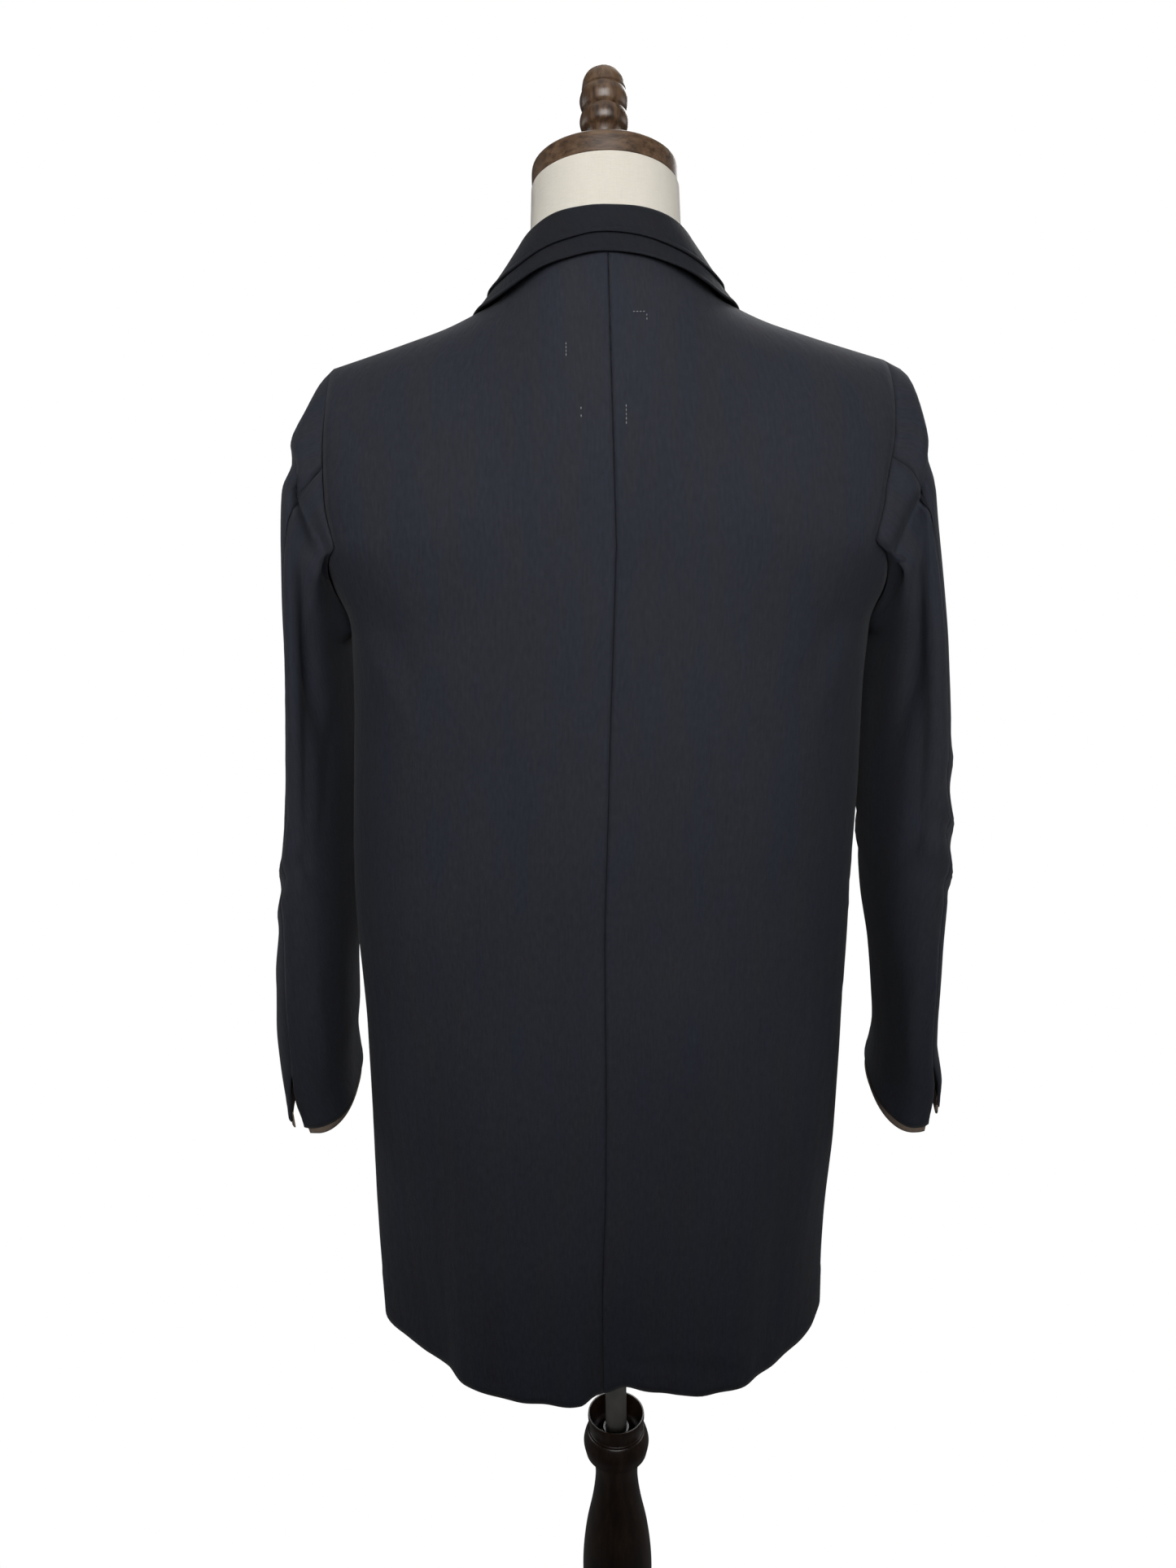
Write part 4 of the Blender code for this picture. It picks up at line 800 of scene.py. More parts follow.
def surface_point(side, face, out_x, turn):
    """Point of the panel over the blades and its outward normal."""
    point = arch_point(side, face, out_x, turn)
    across = arch_point(side, face, out_x + 0.002, turn) - point
    along = point - arch_point(side, face, out_x, turn - 0.02)
    normal = np.cross(across, along)
    if normal.dot([0.0, face, 0.2]) < 0:
        normal = -normal
    return point, unit(normal)


LAID = {}
LAID_X = np.linspace(0.0, 0.20, 61)
LAID_TURN = np.linspace(0.05, math.pi / 2, 46)


def laid_tree(side, face):
    """Search tree over one panel's upper part, as for the left side."""
    if (side, face) not in LAID:
        points = [Vector(arch_point(side, face, x, a) * MIRROR[side]) for x in LAID_X for a in LAID_TURN]
        n = len(LAID_TURN)
        quads = [(i * n + j, i * n + j + 1, (i + 1) * n + j + 1, (i + 1) * n + j)
                 for i in range(len(LAID_X) - 1) for j in range(n - 1)]
        LAID[(side, face)] = BVHTree.FromPolygons(points, quads)
    return LAID[(side, face)]


def laid_on_body(side, target, lift):
    """The place nearest to a target that lies a set height over one side's panels, and the normal
    there. Both are given as for the left side."""
    found = None
    n = len(LAID_TURN) - 1
    for face in (BACK, FRONT):
        _, _, index, distance = laid_tree(side, face).find_nearest(Vector(target))
        if found is None or distance < found[0]:
            found = (distance, face, LAID_X[index // n] + 0.0017, LAID_TURN[index % n] + 0.017)
    _, face, x, a = found
    for _ in range(4):
        here = arch_point(side, face, x, a) * MIRROR[side]
        to_x = (arch_point(side, face, x + 0.001, a) * MIRROR[side] - here) / 0.001
        to_a = (arch_point(side, face, x, a - 0.005) * MIRROR[side] - here) / -0.005
        slopes = np.stack([to_x, to_a], axis=1)
        step = np.linalg.lstsq(slopes, target - here, rcond=None)[0]
        x = min(max(x + min(max(step[0], -0.01), 0.01), 0.0), 0.2)
        a = min(max(a + min(max(step[1], -0.1), 0.1), 0.05), math.pi / 2)
    point, normal = surface_point(side, face, x, a)
    return (point + normal * lift) * MIRROR[side], normal * MIRROR[side]


def neckline_point(side, t):
    """Foot of the collar's stand: the neckline behind, then the roll line of the front."""
    if t <= NECKLINE_T:
        x = NECK_X * math.sin(math.pi / 2 * t / NECKLINE_T)
        return arch_point(side, BACK, x, math.pi / 2) * MIRROR[side]
    z = NECK_Z + (GORGE_Z - NECK_Z) * ((t - NECKLINE_T) / (1 - NECKLINE_T)) ** NECKLINE_POWER
    return front_surface(side, roll_x(z), z)[0] * MIRROR[side]


def kept_off_body(side, point):
    """Moves a point of the fall out until it clears the panel under it."""
    base, normal = laid_on_body(side, point, 0.0)
    away = point - base
    height = away.dot(normal)
    if height >= LOWER_LIFT or np.linalg.norm(away - normal * height) > LOWER_LIFT:
        return point
    return point + normal * (LOWER_LIFT - height)


def collar_row(t, is_upper, leaf_columns, fold_columns):
    """One folded section of a collar at t: from the foot of the stand, over the roll, to the edge."""
    side, t = (1, t) if t >= 0 else (-1, -t)
    roll = np.array([collar_value("roll_" + a, t) for a in "xyz"])
    target = np.array([collar_value("edge_" + a, t) for a in "xyz"])
    edge, normal = laid_on_body(side, target, LOWER_LIFT)
    foot = neckline_point(side, t)
    fall = unit(edge - roll)
    outward = unit(normal - fall * normal.dot(fall))
    layer = COLLAR_WALL + 2 * SEAM_GAP
    centre = roll + fall * FOLD_RADIUS
    leaf_in = centre - outward * FOLD_RADIUS
    tuck = smooth_step(0.66, 0.84, t)
    up = unit(leaf_in - foot) * (WALL + 4 * SEAM_GAP)
    stand = foot + up * (1 - tuck) - outward * (WALL + 2 * SEAM_GAP + layer) * tuck - leaf_in
    leaf_low = centre + outward * (FOLD_RADIUS - layer)
    lower = []
    for k in range(LEAF_STEPS + 1):
        share = k / LEAF_STEPS
        point = leaf_low + (edge - leaf_low) * share + outward * LEAF_BOW * math.sin(math.pi * share)
        lower.append(kept_off_body(side, point) if k else point)
    radius = FOLD_RADIUS if is_upper else FOLD_RADIUS - layer
    row = []
    for share in (1.0, 0.5):
        point = leaf_in + stand * share * (1.0 if is_upper else LOWER_STAND * (1 - 0.6 * tuck))
        row.append(point if is_upper else point + outward * layer)
    for k in range(fold_columns + 1):
        turn = math.pi * k / fold_columns
        row.append(centre - outward * radius * math.cos(turn) - fall * radius * math.sin(turn))
    for k in range(1, leaf_columns + 1):
        along = k / leaf_columns * (collar_value("upper_share", t) if is_upper else 1.0) * LEAF_STEPS
        step = min(int(along), LEAF_STEPS - 1)
        point = lower[step] + (lower[step + 1] - lower[step]) * (along - step)
        row.append(point + outward * layer if is_upper else point)
    for point in row:
        point[0] *= side
    return row


def collar_grid(is_upper, stations, leaf_columns, fold_columns):
    return [collar_row(t, is_upper, leaf_columns, fold_columns)
            for t in np.linspace(-1.0, 1.0, 2 * stations + 1)]


def superellipse(half_width, half_depth, power, turn):
    c, s = math.cos(turn), math.sin(turn)
    return (half_width * math.copysign(abs(c) ** (2 / power), c),
            half_depth * math.copysign(abs(s) ** (2 / power), s))


# Fine pitch of the shown pieces
BODY_LOW_ROWS = 99
BACK_MAIN_COLUMNS = 50
FRONT_MAIN_COLUMNS = 44
SLEEVE_CAP_ROWS = 15
SLEEVE_ARM_ROWS = 66
SLEEVE_VENT_ROWS = 15
COLLAR_STATIONS = 64
COLLAR_FOLD_COLUMNS = 12
UPPER_LEAF_COLUMNS = 24
LOWER_LEAF_COLUMNS = 32
LAPEL_ROWS = 40
LAPEL_COLUMNS_SHOWN = 20
TURN_STEPS = 96
FORM_LEVELS = 140
FORM_SEGMENTS = 128

# Panels of the form's cover, their sunk seams, and the mean radius that its weave is laid out on.
FORM_PANELS = 8
FORM_SEAM_SINK = 0.0005
FORM_SEAM_HALF = 0.0018
FORM_ROUND = 0.11

# Creases laid over the back, in metres: where each lies, how far its line leans from the
# vertical (degrees, top towards the left side), how long and wide it is, and its depth out or in.
# Columns: x, z, lean, half length, half width, depth.
BACK_CREASES = np.array([
    (0.136, 0.760, 2.0, 0.150, 0.0170, -0.0022),
    (0.108, 0.745, 1.0, 0.150, 0.0150, 0.0018),
    (0.168, 0.780, 4.0, 0.150, 0.0120, 0.0014),
    (0.070, 0.700, 0.0, 0.110, 0.0120, -0.0010),
    (0.045, 0.690, -1.0, 0.090, 0.0100, 0.0009),
    (-0.030, 0.700, 1.0, 0.100, 0.0110, 0.0010),
    (-0.062, 0.720, 1.0, 0.120, 0.0130, -0.0012),
    (-0.098, 0.715, -1.0, 0.110, 0.0120, 0.0012),
    (-0.130, 0.730, -2.0, 0.120, 0.0120, -0.0014),
    (-0.160, 0.760, -3.0, 0.130, 0.0110, 0.0012),
    (-0.020, 0.628, 84.0, 0.018, 0.0040, 0.0022),
    (-0.024, 0.637, 88.0, 0.020, 0.0036, -0.0020),
    (-0.020, 0.647, 92.0, 0.016, 0.0040, 0.0016),
    (-0.070, 0.632, 80.0, 0.030, 0.0050, -0.0018),
    (-0.078, 0.645, 76.0, 0.030, 0.0050, 0.0016),
    (-0.166, 1.010, 78.0, 0.030, 0.0040, 0.0010),
    (-0.170, 1.030, 70.0, 0.028, 0.0045, -0.0011),
    (-0.164, 1.055, 66.0, 0.030, 0.0045, 0.0009),
    (-0.172, 0.930, 80.0, 0.030, 0.0050, -0.0009),
    (0.170, 1.060, -68.0, 0.030, 0.0055, -0.0010),
    (0.172, 1.085, -72.0, 0.028, 0.0050, 0.0009),
    (0.160, 1.235, 28.0, 0.060, 0.0110, -0.0016),
    (0.172, 1.215, 26.0, 0.050, 0.0090, 0.0014),
    (-0.160, 1.240, -28.0, 0.060, 0.0110, -0.0016),
    (-0.172, 1.215, -26.0, 0.050, 0.0090, 0.0014),
    (0.120, 1.390, 60.0, 0.050, 0.0110, 0.0008),
    (-0.120, 1.385, -60.0, 0.050, 0.0110, 0.0008),
    (0.060, 1.000, 6.0, 0.160, 0.0220, -0.0008),
    (-0.085, 0.980, -5.0, 0.160, 0.0220, -0.0008),
])
FRONT_CREASES = np.array([
    (0.030, 1.120, 64.0, 0.045, 0.0060, 0.0012),
    (0.034, 1.105, 66.0, 0.050, 0.0060, -0.0012),
    (-0.050, 1.115, -62.0, 0.045, 0.0065, 0.0011),
    (0.150, 1.220, 30.0, 0.060, 0.0100, -0.0016),
    (-0.150, 1.220, -30.0, 0.060, 0.0100, -0.0016),
    (0.130, 0.760, 1.0, 0.150, 0.0160, -0.0020),
    (0.095, 0.740, 0.0, 0.140, 0.0150, 0.0016),
    (-0.100, 0.750, 0.0, 0.150, 0.0160, -0.0018),
    (-0.135, 0.760, -1.0, 0.140, 0.0140, 0.0016),
    (0.060, 0.700, 0.0, 0.100, 0.0120, 0.0009),
    (-0.055, 0.700, 0.0, 0.100, 0.0120, 0.0009),
    (0.105, 1.380, -35.0, 0.050, 0.0120, 0.0009),
    (-0.105, 1.380, 35.0, 0.050, 0.0120, 0.0009),
])

# Creases of the sleeves: ring angle (0 outer, 90 back) and distance along the sleeve of the middle,
# the lean of the line from the sleeve's run (degrees), and sizes in metres.
# Columns: angle, s, lean, half length, half width, depth.
SLEEVE_CREASES = {
    "left": np.array([
        (70.0, 0.105, 44.0, 0.055, 0.0100, -0.0150),
        (48.0, 0.150, 44.0, 0.050, 0.0120, 0.0022),
        (120.0, 0.300, -12.0, 0.075, 0.0120, -0.0060),
        (112.0, 0.420, 2.0, 0.110, 0.0120, -0.0036),
        (84.0, 0.300, 2.0, 0.130, 0.0110, 0.0020),
        (66.0, 0.580, 58.0, 0.040, 0.0060, 0.0020),
        (60.0, 0.605, 60.0, 0.042, 0.0060, -0.0022),
        (64.0, 0.635, 56.0, 0.038, 0.0060, 0.0018),
        (96.0, 0.560, -48.0, 0.040, 0.0065, -0.0020),
        (104.0, 0.600, -50.0, 0.040, 0.0065, 0.0018),
        (250.0, 0.560, 70.0, 0.045, 0.0060, -0.0024),
        (250.0, 0.590, 74.0, 0.045, 0.0060, 0.0020),
        (240.0, 0.620, 66.0, 0.040, 0.0060, -0.0018),
        (300.0, 0.250, 24.0, 0.070, 0.0100, -0.0024),
        (330.0, 0.200, 16.0, 0.070, 0.0100, 0.0018),
        (90.0, 0.800, 10.0, 0.070, 0.0100, -0.0016),
        (120.0, 0.830, -8.0, 0.060, 0.0090, 0.0014),
        (20.0, 0.720, 30.0, 0.050, 0.0080, -0.0012),
        (20.0, 0.760, 34.0, 0.050, 0.0080, 0.0012),
        (150.0, 0.450, 20.0, 0.060, 0.0080, -0.0016),
    ]),
    "right": np.array([
        (86.0, 0.105, 50.0, 0.050, 0.0110, -0.0140),
        (60.0, 0.150, 46.0, 0.050, 0.0120, 0.0018),
        (120.0, 0.305, -12.0, 0.075, 0.0120, -0.0055),
        (110.0, 0.430, -2.0, 0.110, 0.0120, -0.0036),
        (82.0, 0.300, -2.0, 0.130, 0.0110, 0.0020),
        (62.0, 0.540, 62.0, 0.042, 0.0060, 0.0022),
        (58.0, 0.565, 58.0, 0.045, 0.0058, -0.0024),
        (66.0, 0.595, 54.0, 0.042, 0.0060, 0.0022),
        (60.0, 0.625, 60.0, 0.040, 0.0058, -0.0018),
        (30.0, 0.500, 66.0, 0.040, 0.0060, 0.0018),
        (28.0, 0.530, 64.0, 0.040, 0.0060, -0.0018),
        (100.0, 0.540, -44.0, 0.045, 0.0070, -0.0022),
        (106.0, 0.585, -48.0, 0.042, 0.0065, 0.0018),
        (250.0, 0.550, 72.0, 0.045, 0.0060, -0.0024),
        (250.0, 0.580, 70.0, 0.045, 0.0060, 0.0020),
        (238.0, 0.610, 66.0, 0.040, 0.0060, -0.0018),
        (300.0, 0.240, 22.0, 0.070, 0.0100, -0.0024),
        (330.0, 0.200, 16.0, 0.070, 0.0100, 0.0018),
        (92.0, 0.790, -10.0, 0.070, 0.0100, -0.0018),
        (118.0, 0.820, 8.0, 0.060, 0.0090, 0.0014),
        (20.0, 0.730, 28.0, 0.050, 0.0080, -0.0012),
    ]),
}
SLEEVE_RUN = 0.62
SLEEVE_GIRTH_RADIUS = 0.052
SLEEVE_START_S = 0.035
CUFF_REACH = 0.03
CUFF_WAVE = 0.0006
CUFF_WAVE_ANGLE = 11.0

# Where each kind of panel lies on the woven cloth, so that their stripes and clouds differ.
WEAVE_U = {"back": 0.4, "front": 1.1, "top": 2.0, "under": 3.0}

# Seams, hems and edges
SEAM_SINK = 0.0006
SEAM_HALF = 0.0022
SEAM_PRESS = 0.0004
PRESS_OUT = 0.0085
PUCKER = 0.00028
PUCKER_PITCH = 0.0135
HEM_FOLD = 0.038
HEM_RIDGE = 0.0005
HEM_REACH = 0.075
HEM_RADIUS = 0.17
HEM_WAVE = 0.0009
HEM_WAVE_PITCH = 0.047
HEM_WAVE_HEIGHT = 0.05
SIDE_SOFT = 0.02
SHOULDER_Z = 1.43
SHOULDER_SOFT = 0.05
NECK_SOFT = 0.035
NECK_ROUNDS = 140
COLLAR_EVEN = 5.0
COLLAR_WAVE = 0.0011
EDGE_SOFT = 0.0060
EDGE_RIDGE = 0.0005
SLOW_WAVE = ((0.075, 0.0011), (0.033, 0.0005), (0.015, 0.00022))


def noise_at(point, scale, shift):
    """Smooth noise from -1 to 1, the same on each run."""
    return noise.noise(Vector(point) / scale + Vector((shift, 1.7 * shift, -shift)))


def slow_waves(point, shift):
    """Gentle unevenness of hanging wool, longer down the piece than across it."""
    stretched = (point[0], point[1], point[2] * 0.45)
    return sum(size * noise_at(stretched, scale, shift + i * 9.3)
               for i, (scale, size) in enumerate(SLOW_WAVE))


def crease_sum(table, across, along):
    """Creases at a place: across and along are distances in metres from each crease's middle."""
    total = 0.0
    for k, (_, _, lean, half_length, half_width, depth) in enumerate(table):
        turn = math.radians(lean)
        a, b = across(k), along(k)
        off = a * math.cos(turn) - b * math.sin(turn)
        run = a * math.sin(turn) + b * math.cos(turn)
        if abs(off) < 3.2 * half_width and abs(run) < 2.2 * half_length:
            sag = 0.25 * half_width * math.sin(1.9 * run / half_length + k)
            total += depth * math.exp(-(((off + sag) / half_width) ** 2) - (run / half_length) ** 2)
    return total


def body_relief(face, point):
    """Height of the cloth's detail over the body's plain surface."""
    x, y, z = point
    table = BACK_CREASES if face == BACK else FRONT_CREASES
    fade = min(abs(y) / SIDE_SOFT, 1.0)
    height = fade * crease_sum(table, lambda k: x - table[k][0], lambda k: z - table[k][1])
    height += slow_waves(point, 3.1) * smooth_step(SHOULDER_Z, SHOULDER_Z - SHOULDER_SOFT, z)
    hem = z - HEM_Z
    if hem < HEM_REACH:
        height += HEM_RIDGE * (1 - smooth_step(HEM_FOLD - 0.002, HEM_FOLD + 0.003, hem))
        turn = math.atan2(x, y) * HEM_RADIUS
        wave = math.sin(2 * math.pi * turn / HEM_WAVE_PITCH + 2.0 * noise_at(point, 0.08, 5.0))
        height += HEM_WAVE * wave * (1 - smooth_step(0.0, HEM_WAVE_HEIGHT, hem))
    return height


def seam_relief(distance, along):
    """A pressed seam: a narrow groove, the ridge of its allowance and slight puckers beside it."""
    groove = -SEAM_SINK * math.exp(-((distance / SEAM_HALF) ** 2))
    press = SEAM_PRESS * (1 - smooth_step(PRESS_OUT, PRESS_OUT + 0.0025, distance))
    phase = 2 * math.pi * (along / PUCKER_PITCH + 0.9 * noise.noise(Vector((along / 0.06, 3.3, 0.7))))
    pucker = PUCKER * math.sin(phase) * math.exp(-((distance / 0.010) ** 2))
    return groove + press + pucker


def grid_arrays(grid):
    """Array of a grid's points, with its empty cells marked."""
    rows, columns = len(grid), len(grid[0])
    points = np.zeros((rows, columns, 3))
    there = np.zeros((rows, columns), bool)
    for r, row in enumerate(grid):
        for c, point in enumerate(row):
            if point is not None:
                points[r, c] = point
                there[r, c] = True
    return points, there


def grid_normals(points, there):
    """Normals from the neighbours that are there."""
    def steps(axis):
        before, after = np.roll(points, 1, axis), np.roll(points, -1, axis)
        has_before, has_after = np.roll(there, 1, axis), np.roll(there, -1, axis)
        first, last = [slice(None)] * 2, [slice(None)] * 2
        first[axis], last[axis] = 0, -1
        has_before[tuple(first)] = False
        has_after[tuple(last)] = False
        before = np.where((has_before & there)[..., None], before, points)
        after = np.where((has_after & there)[..., None], after, points)
        return after - before
    normal = np.cross(steps(1), steps(0))
    length = np.linalg.norm(normal, axis=2, keepdims=True)
    return normal / np.maximum(length, 1e-12)


def relaxed(points, there, weight, rounds):
    """Evens out a surface where weight is over 0. Its edges stay."""
    inner = np.zeros(there.shape, bool)
    inner[1:-1, 1:-1] = (there[1:-1, 1:-1] & there[2:, 1:-1] & there[:-2, 1:-1] & there[1:-1, 2:]
                         & there[1:-1, :-2])
    share = (0.6 * weight * inner)[..., None]
    for _ in range(rounds):
        mean = (np.roll(points, 1, 0) + np.roll(points, -1, 0) + np.roll(points, 1, 1)
                + np.roll(points, -1, 1)) / 4
        points = points + share * (mean - points)
    return points


def evened_rows(points, spread):
    """Smooths a grid from row to row, and keeps its first and last rows."""
    reach = int(3 * spread)
    weights = np.exp(-0.5 * (np.arange(-reach, reach + 1) / spread) ** 2)
    weights /= weights.sum()
    before = 2 * points[:1] - points[reach:0:-1]
    after = 2 * points[-1:] - points[-2:-reach - 2:-1]
    padded = np.concatenate([before, points, after])
    count = len(points)
    return sum(w * padded[k:k + count] for k, w in enumerate(weights))


def arc_lengths(points, there):
    """Distances along the rows and up the columns, for the weave."""
    across = np.zeros(there.shape)
    along = np.zeros(there.shape)
    step_across = np.linalg.norm(np.diff(points, axis=1), axis=2) * (there[:, 1:] & there[:, :-1])
    step_along = np.linalg.norm(np.diff(points, axis=0), axis=2) * (there[1:] & there[:-1])
    across[:, 1:] = np.cumsum(step_across, axis=1)
    along[1:] = np.cumsum(step_along, axis=0)
    return across, along


def cloth_mesh(name, points, there, u, v, outward):
    """Quad surface with the weave's own coordinates, in metres, and outward faces."""
    rows, columns = there.shape
    number = np.full(there.shape, -1, int)
    number[there] = np.arange(int(there.sum()))
    faces = []
    for r in range(rows - 1):
        for c in range(columns - 1):
            corners = [number[r, c], number[r, c + 1], number[r + 1, c + 1], number[r + 1, c]]
            if min(corners) >= 0:
                faces.append([int(k) for k in corners])
    middle = faces[len(faces) // 2]
    flat = points[there]
    normal = np.cross(flat[middle[1]] - flat[middle[0]], flat[middle[2]] - flat[middle[0]])
    if normal.dot(outward(flat[middle[0]])) < 0:
        faces = [face[::-1] for face in faces]
    data = bpy.data.meshes.new(name)
    data.from_pydata([tuple(p) for p in flat], [], faces)
    layer = data.uv_layers.new(name="weave")
    places = np.stack([u[there], v[there]], axis=1)
    loops = np.zeros(len(data.loops), int)
    data.loops.foreach_get("vertex_index", loops)
    layer.data.foreach_set("uv", places[loops].astype(np.float32).ravel())
    data.shade_smooth()
    data.update()
    return data


def new_piece(name, data, node=None):
    """Adds a mesh to the scene as a piece of the one body."""
    piece = bpy.data.objects.new(name, data)
    bpy.context.scene.collection.objects.link(piece)
    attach(piece, "root")
    if node:
        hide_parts(node)
    return piece


def add_cloth(name, node, points, there, u, v, material, wall, outward):
    """A cloth piece in place of the frame's node."""
    data = cloth_mesh(name, points, there, u, v, outward)
    data.materials.append(material)
    piece = new_piece(name, data, node)
    solid = piece.modifiers.new("wall", "SOLIDIFY")
    solid.thickness = wall
    solid.offset = 0.0
    solid.use_even_offset = False
    across, along = arc_lengths(points, there)
    return piece


def body_piece(side, face, cloth):
    """One back or front panel with its creases, hem, seams and unevenness."""
    back = face == BACK
    grid = body_panel(side, face, BODY_LOW_ROWS, BACK_ARCH_ROWS if back else FRONT_ARCH_ROWS,
                      BACK_MAIN_COLUMNS if back else FRONT_MAIN_COLUMNS, SIDE_STRIPS)
    points, there = grid_arrays(grid)
    near_neck = np.exp(-((abs(points[..., 0]) - NECK_X) / NECK_SOFT) ** 2)
    over_blades = np.clip((points[..., 2] - BLADE_Z - 0.02) / 0.06, 0.0, 1.0)
    points = relaxed(points, there, near_neck * over_blades, NECK_ROUNDS)
    normals = grid_normals(points, there)
    normals *= np.sign((normals[..., 1] * face)[there].sum())
    rows, columns = there.shape
    main = columns - SIDE_STRIPS
    across, along = arc_lengths(points, there)
    moved = points.copy()
    for r in range(rows):
        for c in range(columns):
            if not there[r, c]:
                continue
            point = points[r, c]
            height = body_relief(face, point)
            below = BODY_LOW_ROWS - r
            if below <= 0:
                edge = abs(c - (main - 1)) / 6
            else:
                edge = below / 8 if c >= main else (main - 1 - c + below) / 6
            height *= smooth_step(0.0, 1.0, max(edge, 0.0))
            height *= smooth_step(0.0, 1.0, (rows - 1 - r) / 6)
            if back:
                height += seam_relief(across[r, c], point[2])
            elif r < BODY_LOW_ROWS - 10:
                height += EDGE_RIDGE * (1 - smooth_step(EDGE_SOFT, EDGE_SOFT + 0.0015, across[r, c]))
            moved[r, c] = point + normals[r, c] * height
    word = SIDE_WORD[side]
    name = "back" if back else "front"
    u = side * across + WEAVE_U[name] * side
    return add_cloth(f"cloth_{name}_{word}", f"{name}_{word}", moved, there, u, along, cloth, WALL,
                     lambda p: np.array([0.0, face, 0.1]))


def sleeve_crease(word, angle, s):
    table = SLEEVE_CREASES[word]

    def across(k):
        away = (angle - table[k][0] + 180.0) % 360.0 - 180.0
        return math.radians(away) * SLEEVE_GIRTH_RADIUS
    return crease_sum(table, across, lambda k: (table[k][1] - s) * SLEEVE_RUN)


def sleeve_pieces(side, cloth):
    """Top and under sleeve with their creases."""
    word = SIDE_WORD[side]
    rows = sleeve_rows(SLEEVE_CAP_ROWS, SLEEVE_ARM_ROWS, SLEEVE_VENT_ROWS)
    line = sleeve_centre_line(side, rows)

    def away_from_line(p):
        return p - line[int(np.argmin(abs(line[:, 2] - p[2])))]
    grids = sleeve_panels(side, SLEEVE_CAP_ROWS, SLEEVE_ARM_ROWS, SLEEVE_VENT_ROWS)
    for is_top, grid in zip((True, False), grids):
        points, there = grid_arrays(grid)
        normals = grid_normals(points, there)
        normals *= np.sign(((points - line[:, None]) * normals).sum())
        across, along = arc_lengths(points, there)
        moved = points.copy()
        for r, s in enumerate(rows):
            angles = sleeve_angles(is_top, s)
            for c, angle in enumerate(angles):
                point = points[r, c]
                start = smooth_step(0.0, SLEEVE_START_S, s)
                height = start * (sleeve_crease(word, angle, s) + slow_waves(point, 7.7 + side))
                away = across[r, c] if c < len(angles) / 2 else across[r, -1] - across[r, c]
                height += seam_relief(away, point[2]) * 0.35 * smooth_step(0.25, 0.45, s)
                cuff = (1.0 - s) * SLEEVE_RUN
                height += EDGE_RIDGE * 0.6 * (1 - smooth_step(0.006, 0.009, cuff))
                flare = math.exp(-((cuff / CUFF_REACH) ** 2))
                height += CUFF_WAVE * start * flare * math.sin(angle / CUFF_WAVE_ANGLE + side)
                moved[r, c] = point + normals[r, c] * height
        kind = "top" if is_top else "under"
        add_cloth(f"cloth_{kind}_sleeve_{word}", f"{kind}_sleeve_{word}", moved, there,
                  across + WEAVE_U[kind] * side, -along, cloth, WALL,
                  away_from_line)


def sleeve_centre_line(side, rows):
    """Middle of each ring of a sleeve."""
    return np.array([(plain_ring(side, s, 0.0) + plain_ring(side, s, 180.0)) / 2 for s in rows])


def finer_strip(side):
    """The cuff facing at a fine pitch."""
    inside, edge, low = (np.array(row) for row in trim_strip(side))
    return np.array([inside + (edge - inside) * t for t in (0.0, 0.5)]
                    + [edge + (low - edge) * t for t in (0.0, 0.25, 0.5, 0.75, 1.0)])


def cuff_piece(side, facing):
    word = SIDE_WORD[side]
    points = finer_strip(side)
    there = np.ones(points.shape[:2], bool)
    across, along = arc_lengths(points, there)
    centre = points.mean(axis=(0, 1))
    add_cloth(f"cloth_cuff_trim_{word}", f"cuff_trim_{word}", points, there, across, along, facing,
              TRIM_WALL, lambda p: p - centre)


def collar_piece(is_upper, cloth):
    """A fold of the collar with its edge stitched into a narrow ridge."""
    leaf = UPPER_LEAF_COLUMNS if is_upper else LOWER_LEAF_COLUMNS
    grid = collar_grid(is_upper, COLLAR_STATIONS, leaf, COLLAR_FOLD_COLUMNS)
    points, there = grid_arrays(grid)
    points = evened_rows(points, COLLAR_EVEN)
    for r in range(len(points)):
        place = (r / (len(points) - 1), 0.37, 2.1)
        wave = COLLAR_WAVE * noise_at(place, 0.07, 1.0)
        points[r, :, 2] += wave * np.linspace(0.4, 1.0, points.shape[1])
    normals = grid_normals(points, there)
    rows, columns = there.shape
    leaf_part = normals[:, -leaf // 2:]
    normals *= np.sign((leaf_part[..., 2] + leaf_part[..., 1] * 0.2).sum())
    across, along = arc_lengths(points, there)
    moved = points.copy()
    for r in range(rows):
        for c in range(columns):
            from_edge = across[r, -1] - across[r, c]
            height = 0.0
            if c > columns - leaf:
                height += 0.00045 * (1 - smooth_step(0.0022, 0.0030, from_edge))
                height -= 0.00025 * math.exp(-(((from_edge - 0.0036) / 0.0007) ** 2))
                height += 0.00025 * noise_at(points[r, c], 0.020, 4.0 + is_upper)
            moved[r, c] = points[r, c] + normals[r, c] * height
    name = "upper" if is_upper else "lower"
    add_cloth(f"cloth_collar_{name}", f"collar_{name}", moved, there, along, across, cloth,
              COLLAR_WALL, lambda p: np.array([p[0], p[1], 0.02]))


